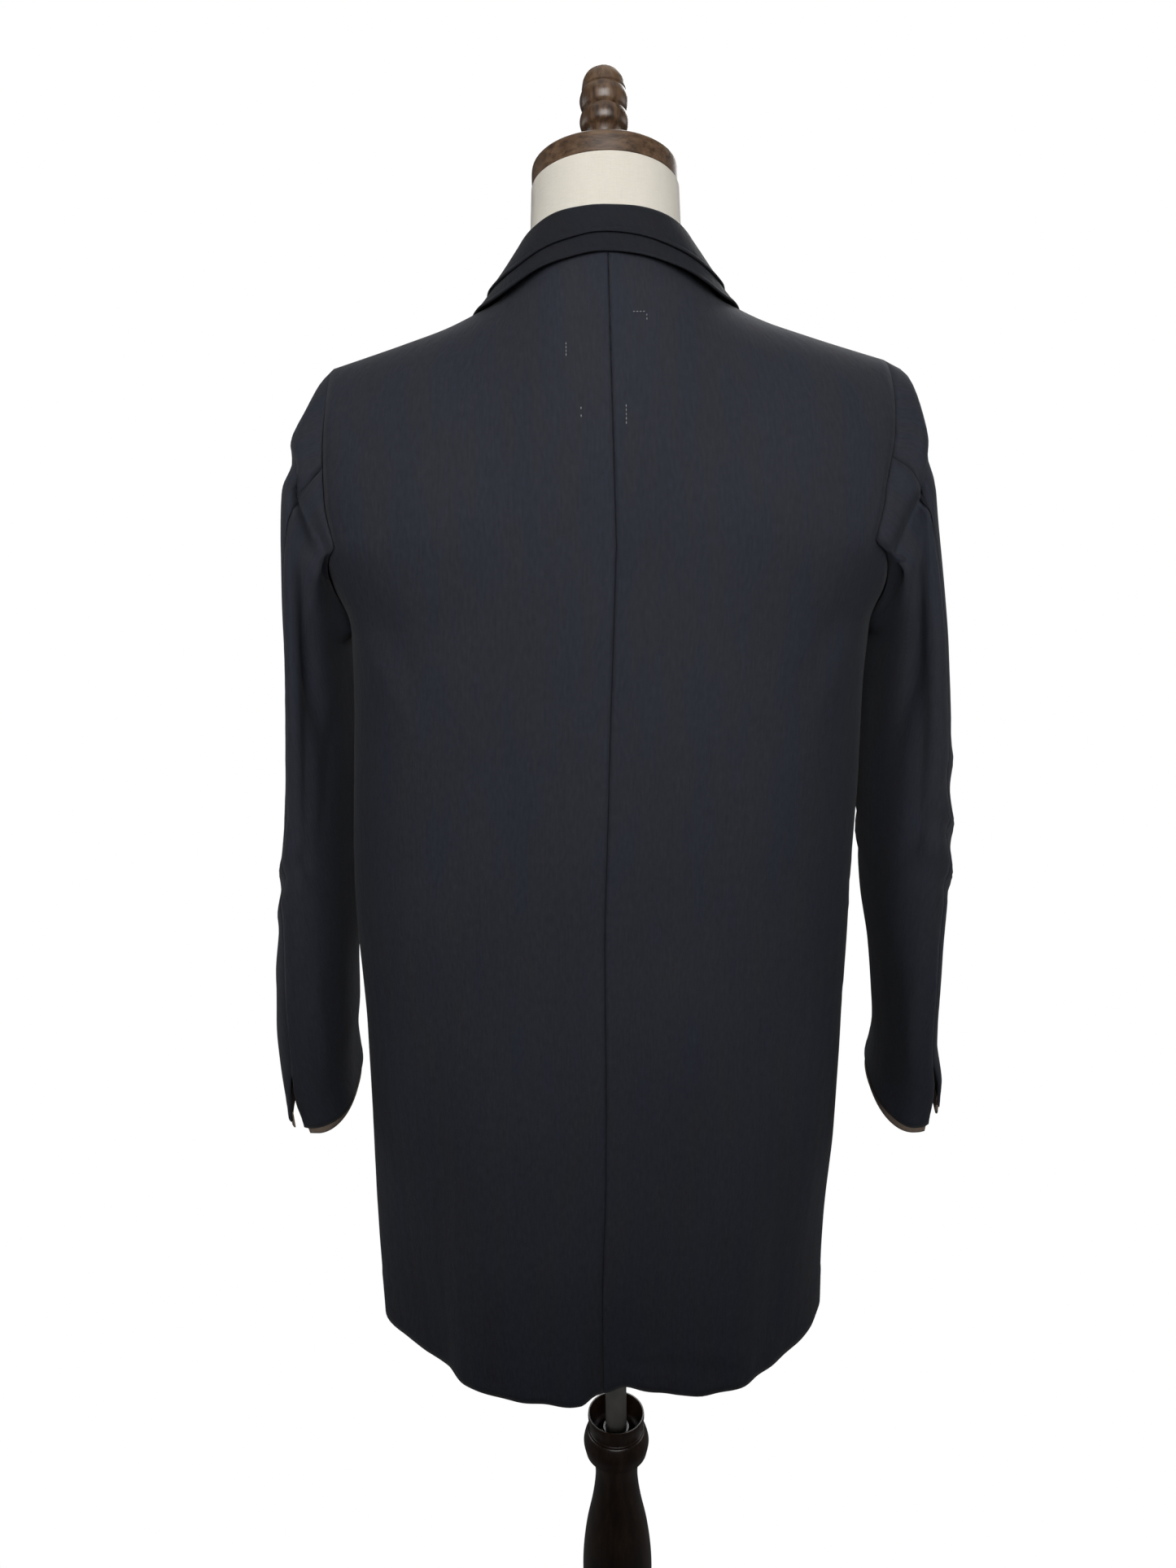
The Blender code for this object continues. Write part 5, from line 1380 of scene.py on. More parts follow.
def lapel_piece(side, cloth):
    word = SIDE_WORD[side]
    grid = lapel_grid(side, LAPEL_ROWS, LAPEL_COLUMNS_SHOWN)
    points, there = grid_arrays(grid)
    across, along = arc_lengths(points, there)
    normals = grid_normals(points, there)
    normals *= -np.sign(normals[..., 1].sum())
    moved = points.copy()
    rows, columns = there.shape
    for r in range(rows):
        for c in range(6, columns):
            from_edge = across[r, -1] - across[r, c]
            height = 0.0004 * (1 - smooth_step(0.0040, 0.0050, from_edge))
            height += 0.0002 * noise_at(points[r, c], 0.025, 6.0 + side)
            moved[r, c] = points[r, c] + normals[r, c] * height
    add_cloth(f"cloth_lapel_{word}", f"lapel_{word}", moved, there, across * side, along, cloth,
              COLLAR_WALL, lambda p: np.array([0.0, -1.0, 0.1]))


# Materials
NAVY_LIGHT = (0.0290, 0.0318, 0.0432)
NAVY_DARK = (0.0145, 0.0158, 0.0225)
# The collar's wool is the body's herringbone at about half its brightness: painted shade for the collar,
# which faces up and away from the light.
SHADED_COLLAR_LIGHT = (0.0150, 0.0164, 0.0222)
SHADED_COLLAR_DARK = (0.0072, 0.0079, 0.0112)
STRIPE = 0.0065
TWILL = 0.00105
OLIVE_TINT = (1.05, 1.01, 0.94, 1.0)
BLUE_TINT = (0.97, 0.99, 1.05, 1.0)
BACK_SEAM_U = WEAVE_U["back"]
# Half width of the painted shadow line drawn along the centre back seam.
BACK_SEAM_SHADOW_HALF = 0.00032
YARN = 0.00052
BROWN_LIGHT = (0.270, 0.205, 0.160)
BROWN_DARK = (0.170, 0.130, 0.100)
LINEN_LIGHT = (0.79, 0.745, 0.655)
LINEN_DARK = (0.66, 0.615, 0.53)
WALNUT = ((0.026, 0.0130, 0.0070), (0.105, 0.060, 0.032), (0.190, 0.120, 0.070))
STEEL_DARK, STEEL_LIGHT = (0.15, 0.147, 0.135), (0.235, 0.228, 0.21)
DARK_THREAD, WHITE_THREAD = (0.02, 0.021, 0.026), (0.55, 0.56, 0.58)
HORN_DARK, HORN_LIGHT = (0.008, 0.007, 0.006), (0.045, 0.033, 0.025)
ESPRESSO = ((0.0060, 0.0026, 0.0014), (0.0180, 0.0080, 0.0042), (0.0420, 0.0210, 0.0120))


class Nodes:
    """Short way to write one material's nodes."""

    def __init__(self, name):
        self.material = bpy.data.materials.new(name)
        self.material.use_nodes = True
        self.tree = self.material.node_tree
        self.shader = self.tree.nodes["Principled BSDF"]

    def add(self, kind, inputs=None, **settings):
        node = self.tree.nodes.new(kind)
        for key, value in settings.items():
            setattr(node, key, value)
        for key, value in (inputs or {}).items():
            self.set(node.inputs[key], value)
        return node

    def set(self, socket, value):
        if isinstance(value, bpy.types.NodeSocket):
            self.tree.links.new(value, socket)
        else:
            socket.default_value = value

    def math(self, operation, a, b=0.0, c=0.0, clamp=False):
        node = self.add("ShaderNodeMath", {0: a, 1: b, 2: c}, operation=operation, use_clamp=clamp)
        return node.outputs[0]

    def ramp(self, factor, stops):
        node = self.add("ShaderNodeValToRGB", {"Fac": factor})
        ramp = node.color_ramp
        while len(ramp.elements) < len(stops):
            ramp.elements.new(0.5)
        for element, (place, colour) in zip(ramp.elements, stops):
            element.position = place
            element.color = (*colour, 1.0)
        return node.outputs["Color"]

    def noise(self, vector, scale, detail=3.0, rough=0.55):
        node = self.add("ShaderNodeTexNoise", {"Vector": vector, "Scale": scale, "Detail": detail,
                                               "Roughness": rough})
        return node.outputs["Fac"]

    def scaled(self, vector, scale):
        node = self.add("ShaderNodeVectorMath", {0: vector, 1: scale}, operation="MULTIPLY")
        return node.outputs[0]

    def bump(self, height, distance, strength, normal=None):
        inputs = {"Height": height, "Distance": distance, "Strength": strength}
        if normal is not None:
            inputs["Normal"] = normal
        return self.add("ShaderNodeBump", inputs).outputs["Normal"]

    def mix(self, factor, a, b, blend="MIX"):
        node = self.add("ShaderNodeMix", {0: factor, 6: a, 7: b}, data_type="RGBA", blend_type=blend)
        return node.outputs[2]


def wool_material(name, light, dark, stripe=True):
    """Herringbone wool: stripes of twill that lean to and fro, a crinkled surface and a soft nap."""
    n = Nodes(name)
    weave = n.add("ShaderNodeUVMap", uv_map="weave").outputs["UV"]
    parts = n.add("ShaderNodeSeparateXYZ", {0: weave})
    u, v = parts.outputs[0], parts.outputs[1]
    wobble = n.noise(n.scaled(weave, (60.0, 60.0, 1.0)), 1.0, 2.0)
    u_soft = n.math("MULTIPLY_ADD", wobble, 0.0016, u)
    lean = n.math("PINGPONG", u_soft, STRIPE)
    line = n.math("MULTIPLY_ADD", lean, 1.15, v)
    twill = n.math("SINE", n.math("MULTIPLY", line, 2 * math.pi / TWILL))
    thread = n.math("SINE", n.math("MULTIPLY", u, 2 * math.pi / YARN))
    in_pair = n.math("MODULO", n.math("ABSOLUTE", u_soft), 2 * STRIPE)
    stripe_side = n.math("GREATER_THAN", in_pair, STRIPE)
    crepe = n.noise(n.scaled(weave, (420.0, 150.0, 1.0)), 1.0, 3.0, 0.6)
    slub = n.noise(n.scaled(weave, (900.0, 60.0, 1.0)), 1.0, 2.0, 0.5)
    cloud = n.noise(n.scaled(weave, (9.0, 6.0, 1.0)), 1.0, 2.0, 0.5)
    shade = n.math("MULTIPLY_ADD", twill, 0.15, 0.45)
    if stripe:
        shade = n.math("MULTIPLY_ADD", stripe_side, 0.02, shade)
    shade = n.math("MULTIPLY_ADD", n.math("SUBTRACT", crepe, 0.5), 1.10, shade)
    shade = n.math("MULTIPLY_ADD", n.math("SUBTRACT", cloud, 0.5), 0.35, shade)
    shade = n.math("MULTIPLY_ADD", n.math("SUBTRACT", slub, 0.5), 0.60, shade)
    colour = n.ramp(shade, [(0.0, dark), (1.0, light)])
    if stripe:
        hue = n.noise(n.scaled(weave, (46.0, 9.0, 1.0)), 1.0, 3.0, 0.6)
        olive = n.math("MULTIPLY_ADD", hue, 4.0, -1.5, clamp=True)
        blue, warm = (n.mix(1.0, colour, tint, "MULTIPLY") for tint in (BLUE_TINT, OLIVE_TINT))
        colour = n.mix(olive, blue, warm)
        # Painted shade: a near-black line down the centre back seam stands in for the shadow in the
        # seam's groove.
        seam = n.math("SUBTRACT", n.math("ABSOLUTE", u), BACK_SEAM_U)
        painted_seam_shadow = n.math("LESS_THAN", n.math("ABSOLUTE", seam), BACK_SEAM_SHADOW_HALF)
        colour = n.mix(n.math("MULTIPLY", painted_seam_shadow, 0.75), colour, (0.002, 0.002, 0.003, 1.0))
    n.set(n.shader.inputs["Base Color"], colour)
    rough = n.math("MULTIPLY_ADD", crepe, 0.10, 0.80)
    n.set(n.shader.inputs["Roughness"], rough)
    n.shader.inputs["Sheen Weight"].default_value = 0.06
    n.shader.inputs["Sheen Roughness"].default_value = 0.40
    n.shader.inputs["Sheen Tint"].default_value = (0.66, 0.67, 0.68, 1.0)
    n.shader.inputs["Specular IOR Level"].default_value = 0.22
    crinkle = n.noise(n.scaled(weave, (170.0, 75.0, 1.0)), 1.0, 2.0, 0.5)
    weave_height = n.math("MULTIPLY_ADD", thread, 0.25, twill)
    normal = n.bump(crinkle, 0.0010, 0.45)
    normal = n.bump(crepe, 0.00045, 0.55, normal)
    normal = n.bump(weave_height, 0.00010, 0.22, normal)
    n.set(n.shader.inputs["Normal"], normal)
    return n.material


def linen_material():
    """Plain cream linen of the dress form."""
    n = Nodes("cream_linen")
    weave = n.add("ShaderNodeUVMap", uv_map="weave").outputs["UV"]
    parts = n.add("ShaderNodeSeparateXYZ", {0: weave})
    u, v = parts.outputs[0], parts.outputs[1]
    warp = n.math("SINE", n.math("MULTIPLY", u, 2 * math.pi / 0.0010))
    weft = n.math("SINE", n.math("MULTIPLY", v, 2 * math.pi / 0.0011))
    basket = n.math("MULTIPLY", warp, weft)
    slub_u = n.noise(n.scaled(weave, (1500.0, 70.0, 1.0)), 1.0, 2.0)
    slub_v = n.noise(n.scaled(weave, (70.0, 1400.0, 1.0)), 1.0, 2.0)
    cloud = n.noise(n.scaled(weave, (14.0, 14.0, 1.0)), 1.0, 3.0)
    shade = n.math("MULTIPLY_ADD", basket, 0.14, 0.10)
    shade = n.math("MULTIPLY_ADD", slub_u, 0.45, shade)
    shade = n.math("MULTIPLY_ADD", slub_v, 0.45, shade)
    shade = n.math("MULTIPLY_ADD", cloud, 0.22, shade)
    n.set(n.shader.inputs["Base Color"], n.ramp(shade, [(0.2, LINEN_DARK), (0.9, LINEN_LIGHT)]))
    n.set(n.shader.inputs["Roughness"], n.math("MULTIPLY_ADD", cloud, 0.08, 0.84))
    n.shader.inputs["Sheen Weight"].default_value = 0.15
    n.shader.inputs["Specular IOR Level"].default_value = 0.25
    normal = n.bump(n.math("MULTIPLY_ADD", slub_u, 0.8, slub_v), 0.0004, 0.5)
    n.set(n.shader.inputs["Normal"], n.bump(basket, 0.00012, 0.5, normal))
    return n.material


def wood_material(name, tones, grain, rough, coat):
    """Stained turned wood: long streaks along the grain, pores and a varnish coat."""
    n = Nodes(name)
    place = n.add("ShaderNodeTexCoord").outputs["Object"]
    warp = n.noise(n.scaled(place, (18.0, 18.0, 6.0)), 1.0, 2.0)
    warps = n.add("ShaderNodeCombineXYZ", {0: warp, 1: warp, 2: warp}).outputs[0]
    bend = n.scaled(warps, (0.012, 0.012, 0.012))
    bent = n.add("ShaderNodeVectorMath", {0: place, 1: bend}, operation="ADD").outputs[0]
    streak = n.noise(n.scaled(bent, grain), 1.0, 5.0, 0.62)
    pores = n.noise(n.scaled(bent, tuple(g * 4.2 for g in grain)), 1.0, 3.0, 0.7)
    cloud = n.noise(n.scaled(place, (16.0, 16.0, 16.0)), 1.0, 2.0)
    shade = n.math("MULTIPLY_ADD", n.math("SUBTRACT", streak, 0.5), 1.5, 0.46)
    shade = n.math("MULTIPLY_ADD", n.math("SUBTRACT", cloud, 0.5), 0.7, shade)
    shade = n.math("MULTIPLY_ADD", n.math("SUBTRACT", pores, 0.5), 0.55, shade)
    n.set(n.shader.inputs["Base Color"], n.ramp(shade, list(zip((0.15, 0.5, 0.92), tones))))
    n.set(n.shader.inputs["Roughness"], n.math("MULTIPLY_ADD", pores, 0.22, rough))
    n.shader.inputs["Coat Weight"].default_value = coat
    n.shader.inputs["Coat Roughness"].default_value = 0.22
    normal = n.bump(pores, 0.0004, 0.30)
    n.set(n.shader.inputs["Normal"], n.bump(streak, 0.0006, 0.20, normal))
    return n.material


def metal_material():
    """Brushed steel tube with fine turning marks."""
    n = Nodes("brushed_steel")
    place = n.add("ShaderNodeTexCoord").outputs["Object"]
    marks = n.noise(n.scaled(place, (30.0, 30.0, 1600.0)), 1.0, 2.0)
    smear = n.noise(n.scaled(place, (40.0, 40.0, 22.0)), 1.0, 3.0)
    n.set(n.shader.inputs["Base Color"], n.ramp(smear, [(0.3, STEEL_DARK), (0.7, STEEL_LIGHT)]))
    n.set(n.shader.inputs["Roughness"], n.math("MULTIPLY_ADD", smear, 0.20, 0.26))
    n.shader.inputs["Metallic"].default_value = 0.45
    n.set(n.shader.inputs["Normal"], n.bump(marks, 0.00015, 0.25))
    return n.material


def horn_material():
    """Polished dark horn with brown streaks."""
    n = Nodes("black_horn")
    place = n.add("ShaderNodeTexCoord").outputs["Object"]
    streak = n.noise(n.scaled(place, (90.0, 90.0, 400.0)), 1.0, 4.0)
    n.set(n.shader.inputs["Base Color"], n.ramp(streak, [(0.35, HORN_DARK), (0.75, HORN_LIGHT)]))
    n.set(n.shader.inputs["Roughness"], n.math("MULTIPLY_ADD", streak, 0.2, 0.22))
    n.set(n.shader.inputs["Normal"], n.bump(streak, 0.0001, 0.2))
    return n.material


def thread_material(name, colour):
    n = Nodes(name)
    place = n.add("ShaderNodeTexCoord").outputs["Object"]
    twist = n.noise(n.scaled(place, (3000.0, 3000.0, 3000.0)), 1.0, 2.0)
    light = tuple(min(c * 1.25, 1.0) for c in colour)
    n.set(n.shader.inputs["Base Color"], n.ramp(twist, [(0.3, colour), (0.7, light)]))
    n.shader.inputs["Roughness"].default_value = 0.7
    n.set(n.shader.inputs["Normal"], n.bump(twist, 0.0001, 0.5))
    return n.material


# Turned pieces: the profiles again at a fine pitch, with their sharp corners kept.
FINIAL_SHARP = (4, 5, 9, 18, 19)
COLUMN_SHARP = (1, 2, 3, 4, 5, 7, 8, 13, 14, 21, 22, 24, 25, 29, 30, 31)
BASE_SHARP = (1, 2, 3, 4, 7)
PROFILE_STEPS = 7


def smooth_profile(profile, sharp):
    """A profile with soft curves between its points, but straight into each sharp corner."""
    points = np.array(profile)
    out = [points[0]]
    for k in range(len(points) - 1):
        a, b = points[k], points[k + 1]
        before = points[k - 1] if k > 0 and k not in sharp else a - (b - a)
        after = points[k + 2] if k + 2 < len(points) and k + 1 not in sharp else b + (b - a)
        flat = (k in sharp or k == 0) and (k + 1 in sharp or k + 2 == len(points))
        steps = 1 if flat else PROFILE_STEPS
        for i in range(1, steps + 1):
            t = i / steps
            if flat:
                out.append(b)
                continue
            ta, tb = (b - before) / 2, (after - a) / 2
            out.append((2 * t**3 - 3 * t**2 + 1) * a + (t**3 - 2 * t**2 + t) * ta
                       + (3 * t**2 - 2 * t**3) * b + (t**3 - t**2) * tb)
    return [(max(float(r), 0.0), float(z)) for r, z in out]


def turned_piece(name, node, profile, material, matrix=None):
    """Turned solid that stands for a frame node."""
    data = bpy.data.meshes.new(name)
    ring_points, faces, starts = [], [], []
    for r, z in profile:
        starts.append(len(ring_points))
        if r < 1e-6:
            ring_points.append((0.0, 0.0, z))
        else:
            turns = [2 * math.pi * k / TURN_STEPS for k in range(TURN_STEPS)]
            ring_points += [(r * math.cos(turn), r * math.sin(turn), z) for turn in turns]
    for i in range(len(profile) - 1):
        a, b = starts[i], starts[i + 1]
        for k in range(TURN_STEPS):
            m = (k + 1) % TURN_STEPS
            if profile[i][0] < 1e-6:
                faces.append((a, b + k, b + m))
            elif profile[i + 1][0] < 1e-6:
                faces.append((a + m, a + k, b))
            else:
                faces.append((a + k, b + k, b + m, a + m))
    if profile[0] == profile[-1]:
        last = starts[-1]
        faces = [tuple(k - last if k >= last else k for k in face) for face in faces]
        ring_points = ring_points[:last]
    data.from_pydata(ring_points, [], faces)
    if matrix is not None:
        data.transform(matrix)
    data.materials.append(material)
    data.shade_smooth()
    crease_sharp(new_piece(name, data, node))


def crease_sharp(piece, angle=38.0):
    """Marks edges that turn sharply, so that the rest shades smoothly."""
    mesh = bmesh.new()
    mesh.from_mesh(piece.data)
    bmesh.ops.recalc_face_normals(mesh, faces=mesh.faces)
    for edge in mesh.edges:
        if len(edge.link_faces) == 2 and edge.calc_face_angle(0.0) > math.radians(angle):
            edge.smooth = False
    mesh.to_mesh(piece.data)
    mesh.free()


def neck_matrix(height):
    up = Vector((0.0, -math.sin(NECK_TILT), math.cos(NECK_TILT)))
    return Matrix.Translation(Vector(NECK_TOP) + up * height) @ Matrix.Rotation(NECK_TILT, 4, "X")


def form_piece(linen):
    """The dress form's body and neck, with its panel seams slightly sunk."""
    levels = list(np.linspace(FORM[0, 0], FORM[-1, 0], FORM_LEVELS))
    segments = FORM_SEGMENTS
    data = bpy.data.meshes.new("cloth_form")
    points, places = [], []
    for z in levels:
        value = {n: table_curve(FORM, FORM_COLUMNS, n, z) for n in FORM_COLUMNS[1:]}
        for k in range(segments):
            turn = 2 * math.pi * k / segments
            x, y = superellipse(value["half_width"], value["half_depth"], value["power"], turn)
            neck = smooth_step(1.46, 1.50, z)
            apart = abs((turn / (2 * math.pi) * FORM_PANELS + 0.5) % 1.0 - 0.5)
            away = apart * 2 * math.pi / FORM_PANELS * value["half_width"]
            sink = FORM_SEAM_SINK * math.exp(-((away / FORM_SEAM_HALF) ** 2)) * (1 - neck)
            shrink = 1 - sink / max(math.hypot(x, y), 1e-6)
            points.append((x * shrink, value["centre_y"] + y * shrink, z + value["tilt"] * y))
            places.append((turn * FORM_ROUND, z))
    faces = []
    for i in range(len(levels) - 1):
        for k in range(segments):
            m = (k + 1) % segments
            low, high = i * segments, (i + 1) * segments
            faces.append((low + k, low + m, high + m, high + k))
    faces.append(tuple(reversed(range(segments))))
    faces.append(tuple(range((len(levels) - 1) * segments, len(levels) * segments)))
    data.from_pydata(points, [], faces)
    layer = data.uv_layers.new(name="weave")
    for poly in data.polygons:
        wraps = max(places[i][0] for i in poly.vertices) - min(places[i][0] for i in poly.vertices) > 0.3
        for loop in poly.loop_indices:
            u, v = places[data.loops[loop].vertex_index]
            if wraps and u < 0.3 and len(poly.vertices) == 4:
                u += 2 * math.pi * FORM_ROUND
            layer.data[loop].uv = (u, v)
    data.materials.append(linen)
    data.shade_smooth()
    piece = new_piece("cloth_form", data, "form_torso")
    crease_sharp(piece, 50.0)


# Buttons and threads: the profile gives radius and height. A row of tacking gives where it starts
# on the back, which way it runs, its number of stitches and their pitch.
BUTTON = [
    (0.0, 0.0021), (0.0058, 0.0020), (0.0068, 0.0024), (0.0077, 0.0033), (0.0086, 0.0036),
    (0.0094, 0.0033), (0.0100, 0.0024), (0.0100, 0.0017), (0.0094, 0.0007), (0.0070, 0.0001),
    (0.0, 0.0),
]
BUTTON_SHARP = (1, 9)
HOLE_SPREAD = 0.0019
CROSS_STEPS = 8
CROSS_HEIGHT = 0.00195
CROSS_ARCH = 0.00055
CROSS_RADIUS = 0.00038
# Columns of the tacks: x, z, run along x, run along z, count, pitch.
TACKS = (
    (0.0288, 1.4315, 0.0, 1.0, 4, 0.0024),
    (-0.0160, 1.4510, 1.0, 0.0, 4, 0.0022),
    (-0.0250, 1.4495, 0.0, 1.0, 2, 0.0026),
    (-0.0103, 1.3910, 0.0, 1.0, 5, 0.0027),
    (0.0195, 1.3900, 0.0, 1.0, 2, 0.0050),
)
TACK_RADIUS = 0.00016


def tube(mesh, points, radius, sides=6):
    """Round thread along a short line of points."""
    rings = []
    for i, p in enumerate(points):
        p = Vector(p)
        ahead = Vector(points[min(i + 1, len(points) - 1)]) - Vector(points[max(i - 1, 0)])
        ahead.normalize()
        side = ahead.cross(Vector((0.31, 0.17, 0.94)))
        side.normalize()
        up = side.cross(ahead)
        end = 0.55 if i in (0, len(points) - 1) else 1.0
        rings.append([mesh.verts.new(p + (side * math.cos(2 * math.pi * k / sides)
                                          + up * math.sin(2 * math.pi * k / sides)) * radius * end)
                      for k in range(sides)])
    for a, b in zip(rings, rings[1:]):
        for k in range(sides):
            m = (k + 1) % sides
            mesh.faces.new((a[k], a[m], b[m], b[k]))
    mesh.faces.new(list(reversed(rings[0])))
    mesh.faces.new(rings[-1])


def finish_threads(mesh, name, material):
    bmesh.ops.recalc_face_normals(mesh, faces=mesh.faces)
    data = bpy.data.meshes.new(name)
    mesh.to_mesh(data)
    mesh.free()
    data.materials.append(material)
    data.shade_smooth()
    new_piece(name, data)


def button_matrix(z):
    point, normal = front_surface(LEFT, 0.0, z)
    point[1] -= LAP_STEP / 2
    tilt = math.pi / 2 + math.atan2(normal[2], -normal[1])
    place = point + normal * (WALL / 2 + 2 * FIT)
    return Matrix.Translation(Vector(place)) @ Matrix.Rotation(tilt, 4, "X")


def button_pieces(horn, thread):
    """Horn buttons, sewn on with crossed thread."""
    threads = bmesh.new()
    for number, z in enumerate(BUTTON_LEVELS, start=1):
        matrix = button_matrix(z)
        turned_piece(f"shown_button_{number}", f"button_{number}", smooth_profile(BUTTON, BUTTON_SHARP),
                     horn, matrix)
        for ax, ay, bx, by in ((1, 1, -1, -1), (1, -1, -1, 1)):
            line = []
            for i in range(CROSS_STEPS + 1):
                t = i / CROSS_STEPS
                x = HOLE_SPREAD * (ax + (bx - ax) * t)
                y = HOLE_SPREAD * (ay + (by - ay) * t)
                height = CROSS_HEIGHT + CROSS_ARCH * math.sin(math.pi * t)
                line.append(matrix @ Vector((x, y, height)))
            tube(threads, line, CROSS_RADIUS)
    finish_threads(threads, "button_threads", thread)


def tack_threads(tree, thread):
    """Ends of the tailor's white tacking that were left in the upper back."""
    mesh = bmesh.new()
    for x, z, run_x, run_z, count, pitch in TACKS:
        for k in range(count):
            line = []
            for t in (0.0, 0.5, 1.0):
                px = x - run_x * (k * pitch + t * 0.0011)
                pz = z - run_z * (k * pitch + t * 0.0013)
                hit = tree.ray_cast(Vector((px, 0.5, pz)), Vector((0.0, -1.0, 0.0)))
                rise = WALL / 2 + 0.00012 + 0.00018 * math.sin(math.pi * t)
                line.append(hit[0] + hit[1] * rise * (1 if hit[1].y > 0 else -1))
            tube(mesh, line, TACK_RADIUS)
    finish_threads(mesh, "tack_threads", thread)


# Stage: each light's place, the point it faces, its size, its power in watts and its beam in degrees.
FLOOR_SIZE = 14.0
CAMERA_PLACE = (0.0184, 0.90, 1.34)
CAMERA_DOWN = math.radians(14.7)
CAMERA_ROLL = math.radians(-0.8)
AMBIENT = 0.05
FLOOR_SHADE = 0.10
LIGHTS = (
    ("top", (0.0, -0.1, 3.4), (0.0, 0.0, 1.3), 2.2, 7.0, 180.0),
    ("key", (0.0, 1.45, 1.95), (0.0, 0.0, 1.54), 1.4, 6.9, 64.0),
    ("front", (-0.5, -2.0, 2.6), (0.0, 0.0, 1.25), 1.6, 40.0, 180.0),
    ("left", (2.3, -0.6, 1.3), (0.0, 0.0, 1.2), 1.4, 9.0, 180.0),
    ("right", (-2.3, -0.6, 1.3), (0.0, 0.0, 1.2), 1.4, 9.0, 180.0),
)
FOCUS_PIXELS = 1400.0
FRAME_LONG = 1927.0


def add_camera():
    """The photograph's own viewpoint: behind the coat, a little above its shoulders."""
    forward = Vector((0.0, -math.cos(CAMERA_DOWN), -math.sin(CAMERA_DOWN)))
    right = Vector((-1.0, 0.0, 0.0))
    up = right.cross(forward)
    turned_right = right * math.cos(CAMERA_ROLL) + up * math.sin(CAMERA_ROLL)
    turned_up = up * math.cos(CAMERA_ROLL) - right * math.sin(CAMERA_ROLL)
    matrix = Matrix((turned_right, turned_up, -forward)).transposed().to_4x4()
    matrix.translation = CAMERA_PLACE
    data = bpy.data.cameras.new("camera")
    data.sensor_fit = "AUTO"
    data.sensor_width = 36.0
    data.lens = 36.0 * FOCUS_PIXELS / FRAME_LONG
    data.clip_start, data.clip_end = 0.05, 60.0
    camera = bpy.data.objects.new("camera", data)
    bpy.context.scene.collection.objects.link(camera)
    camera.matrix_world = matrix
    bpy.context.scene.camera = camera


def add_light(name, place, aim, size, power, spread):
    data = bpy.data.lights.new(name, "AREA")
    data.shape = "SQUARE"
    data.size = size
    data.energy = power
    data.spread = math.radians(spread)
    light = bpy.data.objects.new(name, data)
    bpy.context.scene.collection.objects.link(light)
    light.location = place
    light.rotation_euler = (Vector(aim) - Vector(place)).to_track_quat("-Z", "Y").to_euler()


def add_stage():
    """A floor and a world that show white, both dim for the light that falls on the part."""
    scene = bpy.context.scene
    n = Nodes("white_backdrop")
    n.shader.inputs["Base Color"].default_value = (FLOOR_SHADE, FLOOR_SHADE, FLOOR_SHADE, 1.0)
    n.shader.inputs["Roughness"].default_value = 0.9
    n.shader.inputs["Specular IOR Level"].default_value = 0.1
    seen = n.add("ShaderNodeLightPath").outputs["Is Camera Ray"]
    white = n.add("ShaderNodeEmission", {"Color": (1.0, 1.0, 1.0, 1.0), "Strength": 1.0})
    shown_floor = n.add("ShaderNodeMixShader", {0: seen, 1: n.shader.outputs[0], 2: white.outputs[0]})
    n.tree.links.new(shown_floor.outputs[0], n.tree.nodes["Material Output"].inputs["Surface"])
    half = FLOOR_SIZE / 2
    data = bpy.data.meshes.new("floor")
    corners = [(x * half, y * half, 0.0) for x, y in ((-1, -1), (1, -1), (1, 1), (-1, 1))]
    data.from_pydata(corners, [], [(0, 1, 2, 3)])
    data.materials.append(n.material)
    floor = bpy.data.objects.new("floor", data)
    scene.collection.objects.link(floor)
    world = bpy.data.worlds.new("studio")
    scene.world = world
    world.use_nodes = True
    nodes, links = world.node_tree.nodes, world.node_tree.links
    shown = nodes["Background"]
    shown.inputs["Color"].default_value = (1.0, 1.0, 1.0, 1.0)
    shown.inputs["Strength"].default_value = 1.0
    ambient = nodes.new("ShaderNodeBackground")
    ambient.inputs["Color"].default_value = (0.96, 0.98, 1.0, 1.0)
    ambient.inputs["Strength"].default_value = AMBIENT
    path, mix = nodes.new("ShaderNodeLightPath"), nodes.new("ShaderNodeMixShader")
    links.new(path.outputs["Is Camera Ray"], mix.inputs[0])
    links.new(ambient.outputs[0], mix.inputs[1])
    links.new(shown.outputs[0], mix.inputs[2])
    links.new(mix.outputs[0], nodes["World Output"].inputs["Surface"])
    for light in LIGHTS:
        add_light(*light)
    scene.view_settings.view_transform = "Standard"


def add_coat():
    wool = wool_material("herringbone_wool", NAVY_LIGHT, NAVY_DARK)
    facing = wool_material("brown_facing", BROWN_LIGHT, BROWN_DARK, False)
    form_piece(linen_material())
    backs = []
    for side in (LEFT, RIGHT):
        backs.append(body_piece(side, BACK, wool))
        body_piece(side, FRONT, wool)
        lapel_piece(side, wool)
        sleeve_pieces(side, wool)
        cuff_piece(side, facing)
    # The collar gets a darker copy of the body's wool, as painted shade.
    collar_wool_painted_shade = wool_material("collar_wool_painted_shade", SHADED_COLLAR_LIGHT, SHADED_COLLAR_DARK)
    collar_piece(False, collar_wool_painted_shade)
    collar_piece(True, collar_wool_painted_shade)
    return backs


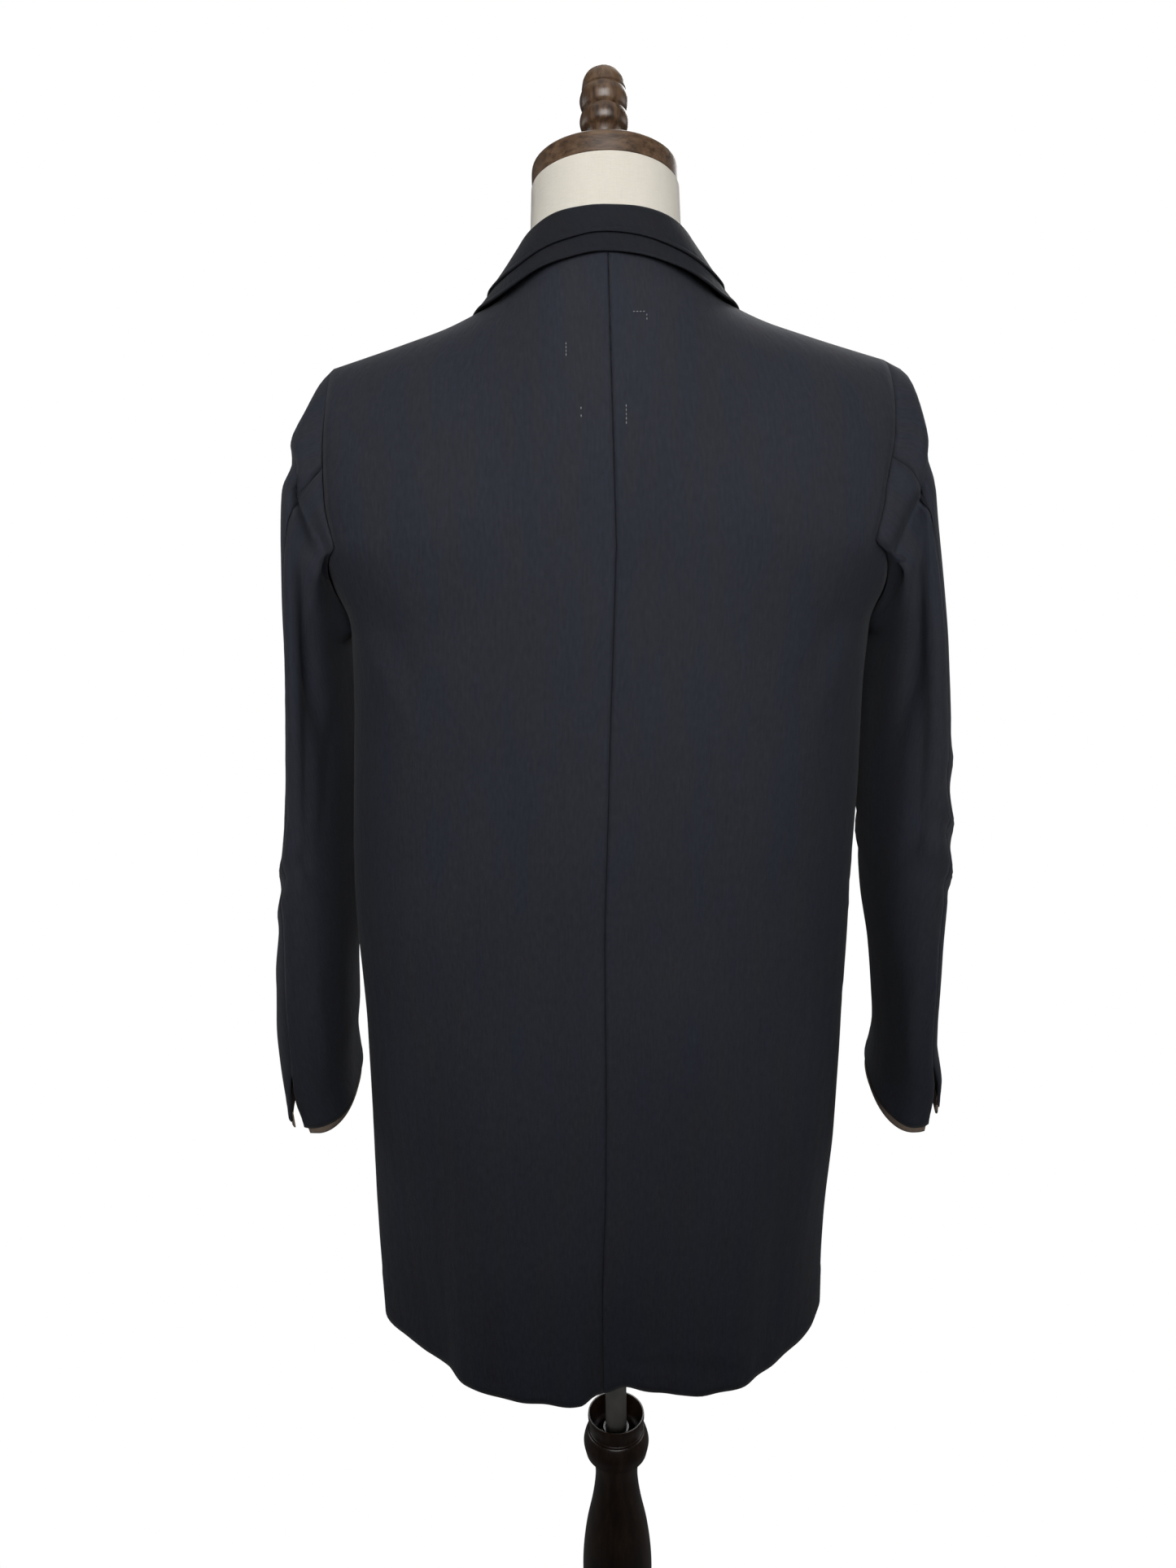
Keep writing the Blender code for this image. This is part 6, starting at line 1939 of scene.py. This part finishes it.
def add_wood():
    walnut = wood_material("walnut", WALNUT, (30.0, 220.0, 260.0), 0.34, 0.25)
    finial_wood = wood_material("walnut_finial", WALNUT, (230.0, 230.0, 28.0), 0.30, 0.35)
    espresso = wood_material("espresso_wood", ESPRESSO, (190.0, 190.0, 16.0), 0.24, 0.5)
    cap = [
        (0.0, CAP_HEIGHT), (CAP_RADIUS - 0.0045, CAP_HEIGHT), (CAP_RADIUS - 0.0012, CAP_HEIGHT - 0.0018),
        (CAP_RADIUS, CAP_HEIGHT - 0.0050), (CAP_RADIUS, 0.0015), (CAP_RADIUS - 0.0015, 0.0), (0.0, 0.0),
    ]
    turned_piece("shown_neck_cap", "neck_cap", smooth_profile(cap, (1, 4, 5)), walnut,
                 neck_matrix(FIT))
    turned_piece("shown_finial", "finial", smooth_profile(FINIAL, FINIAL_SHARP), finial_wood,
                 neck_matrix(CAP_HEIGHT + 2 * FIT))
    for name, node, profile, sharp in (("shown_column", "stand_column", COLUMN, COLUMN_SHARP),
                                       ("shown_base", "stand_base", BASE, BASE_SHARP)):
        turned_piece(name, node, smooth_profile(profile, sharp), espresso)
    plate_z = FORM[0][0] - FIT - PLATE_HEIGHT
    hole = POLE_RADIUS + POLE_FIT
    plate_top, bevel = plate_z + PLATE_HEIGHT, 0.0015
    plate = [
        (hole, plate_top), (PLATE_RADIUS, plate_top), (PLATE_RADIUS, plate_z + bevel),
        (PLATE_RADIUS - bevel, plate_z), (hole, plate_z), (hole, plate_top),
    ]
    turned_piece("shown_base_plate", "base_plate", plate, espresso)
    low, high = SOCKET_FLOOR + FIT, FORM[0][0] - FIT
    bevel = 0.0004
    pole = [(0.0, high), (POLE_RADIUS - bevel, high), (POLE_RADIUS, high - bevel),
            (POLE_RADIUS, low + bevel), (POLE_RADIUS - bevel, low), (0.0, low)]
    turned_piece("shown_pole", "pole", pole, metal_material())


def surface_tree(pieces):
    """Search tree over several cloth pieces' middle surfaces."""
    points, faces = [], []
    for piece in pieces:
        base = len(points)
        points += [v.co.copy() for v in piece.data.vertices]
        faces += [tuple(base + k for k in poly.vertices) for poly in piece.data.polygons]
    return BVHTree.FromPolygons(points, faces)


def main():
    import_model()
    backs = add_coat()
    add_wood()
    button_pieces(horn_material(), thread_material("dark_thread", DARK_THREAD))
    tack_threads(surface_tree(backs), thread_material("white_thread", WHITE_THREAD))
    add_camera()
    add_stage()
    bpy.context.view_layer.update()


main()
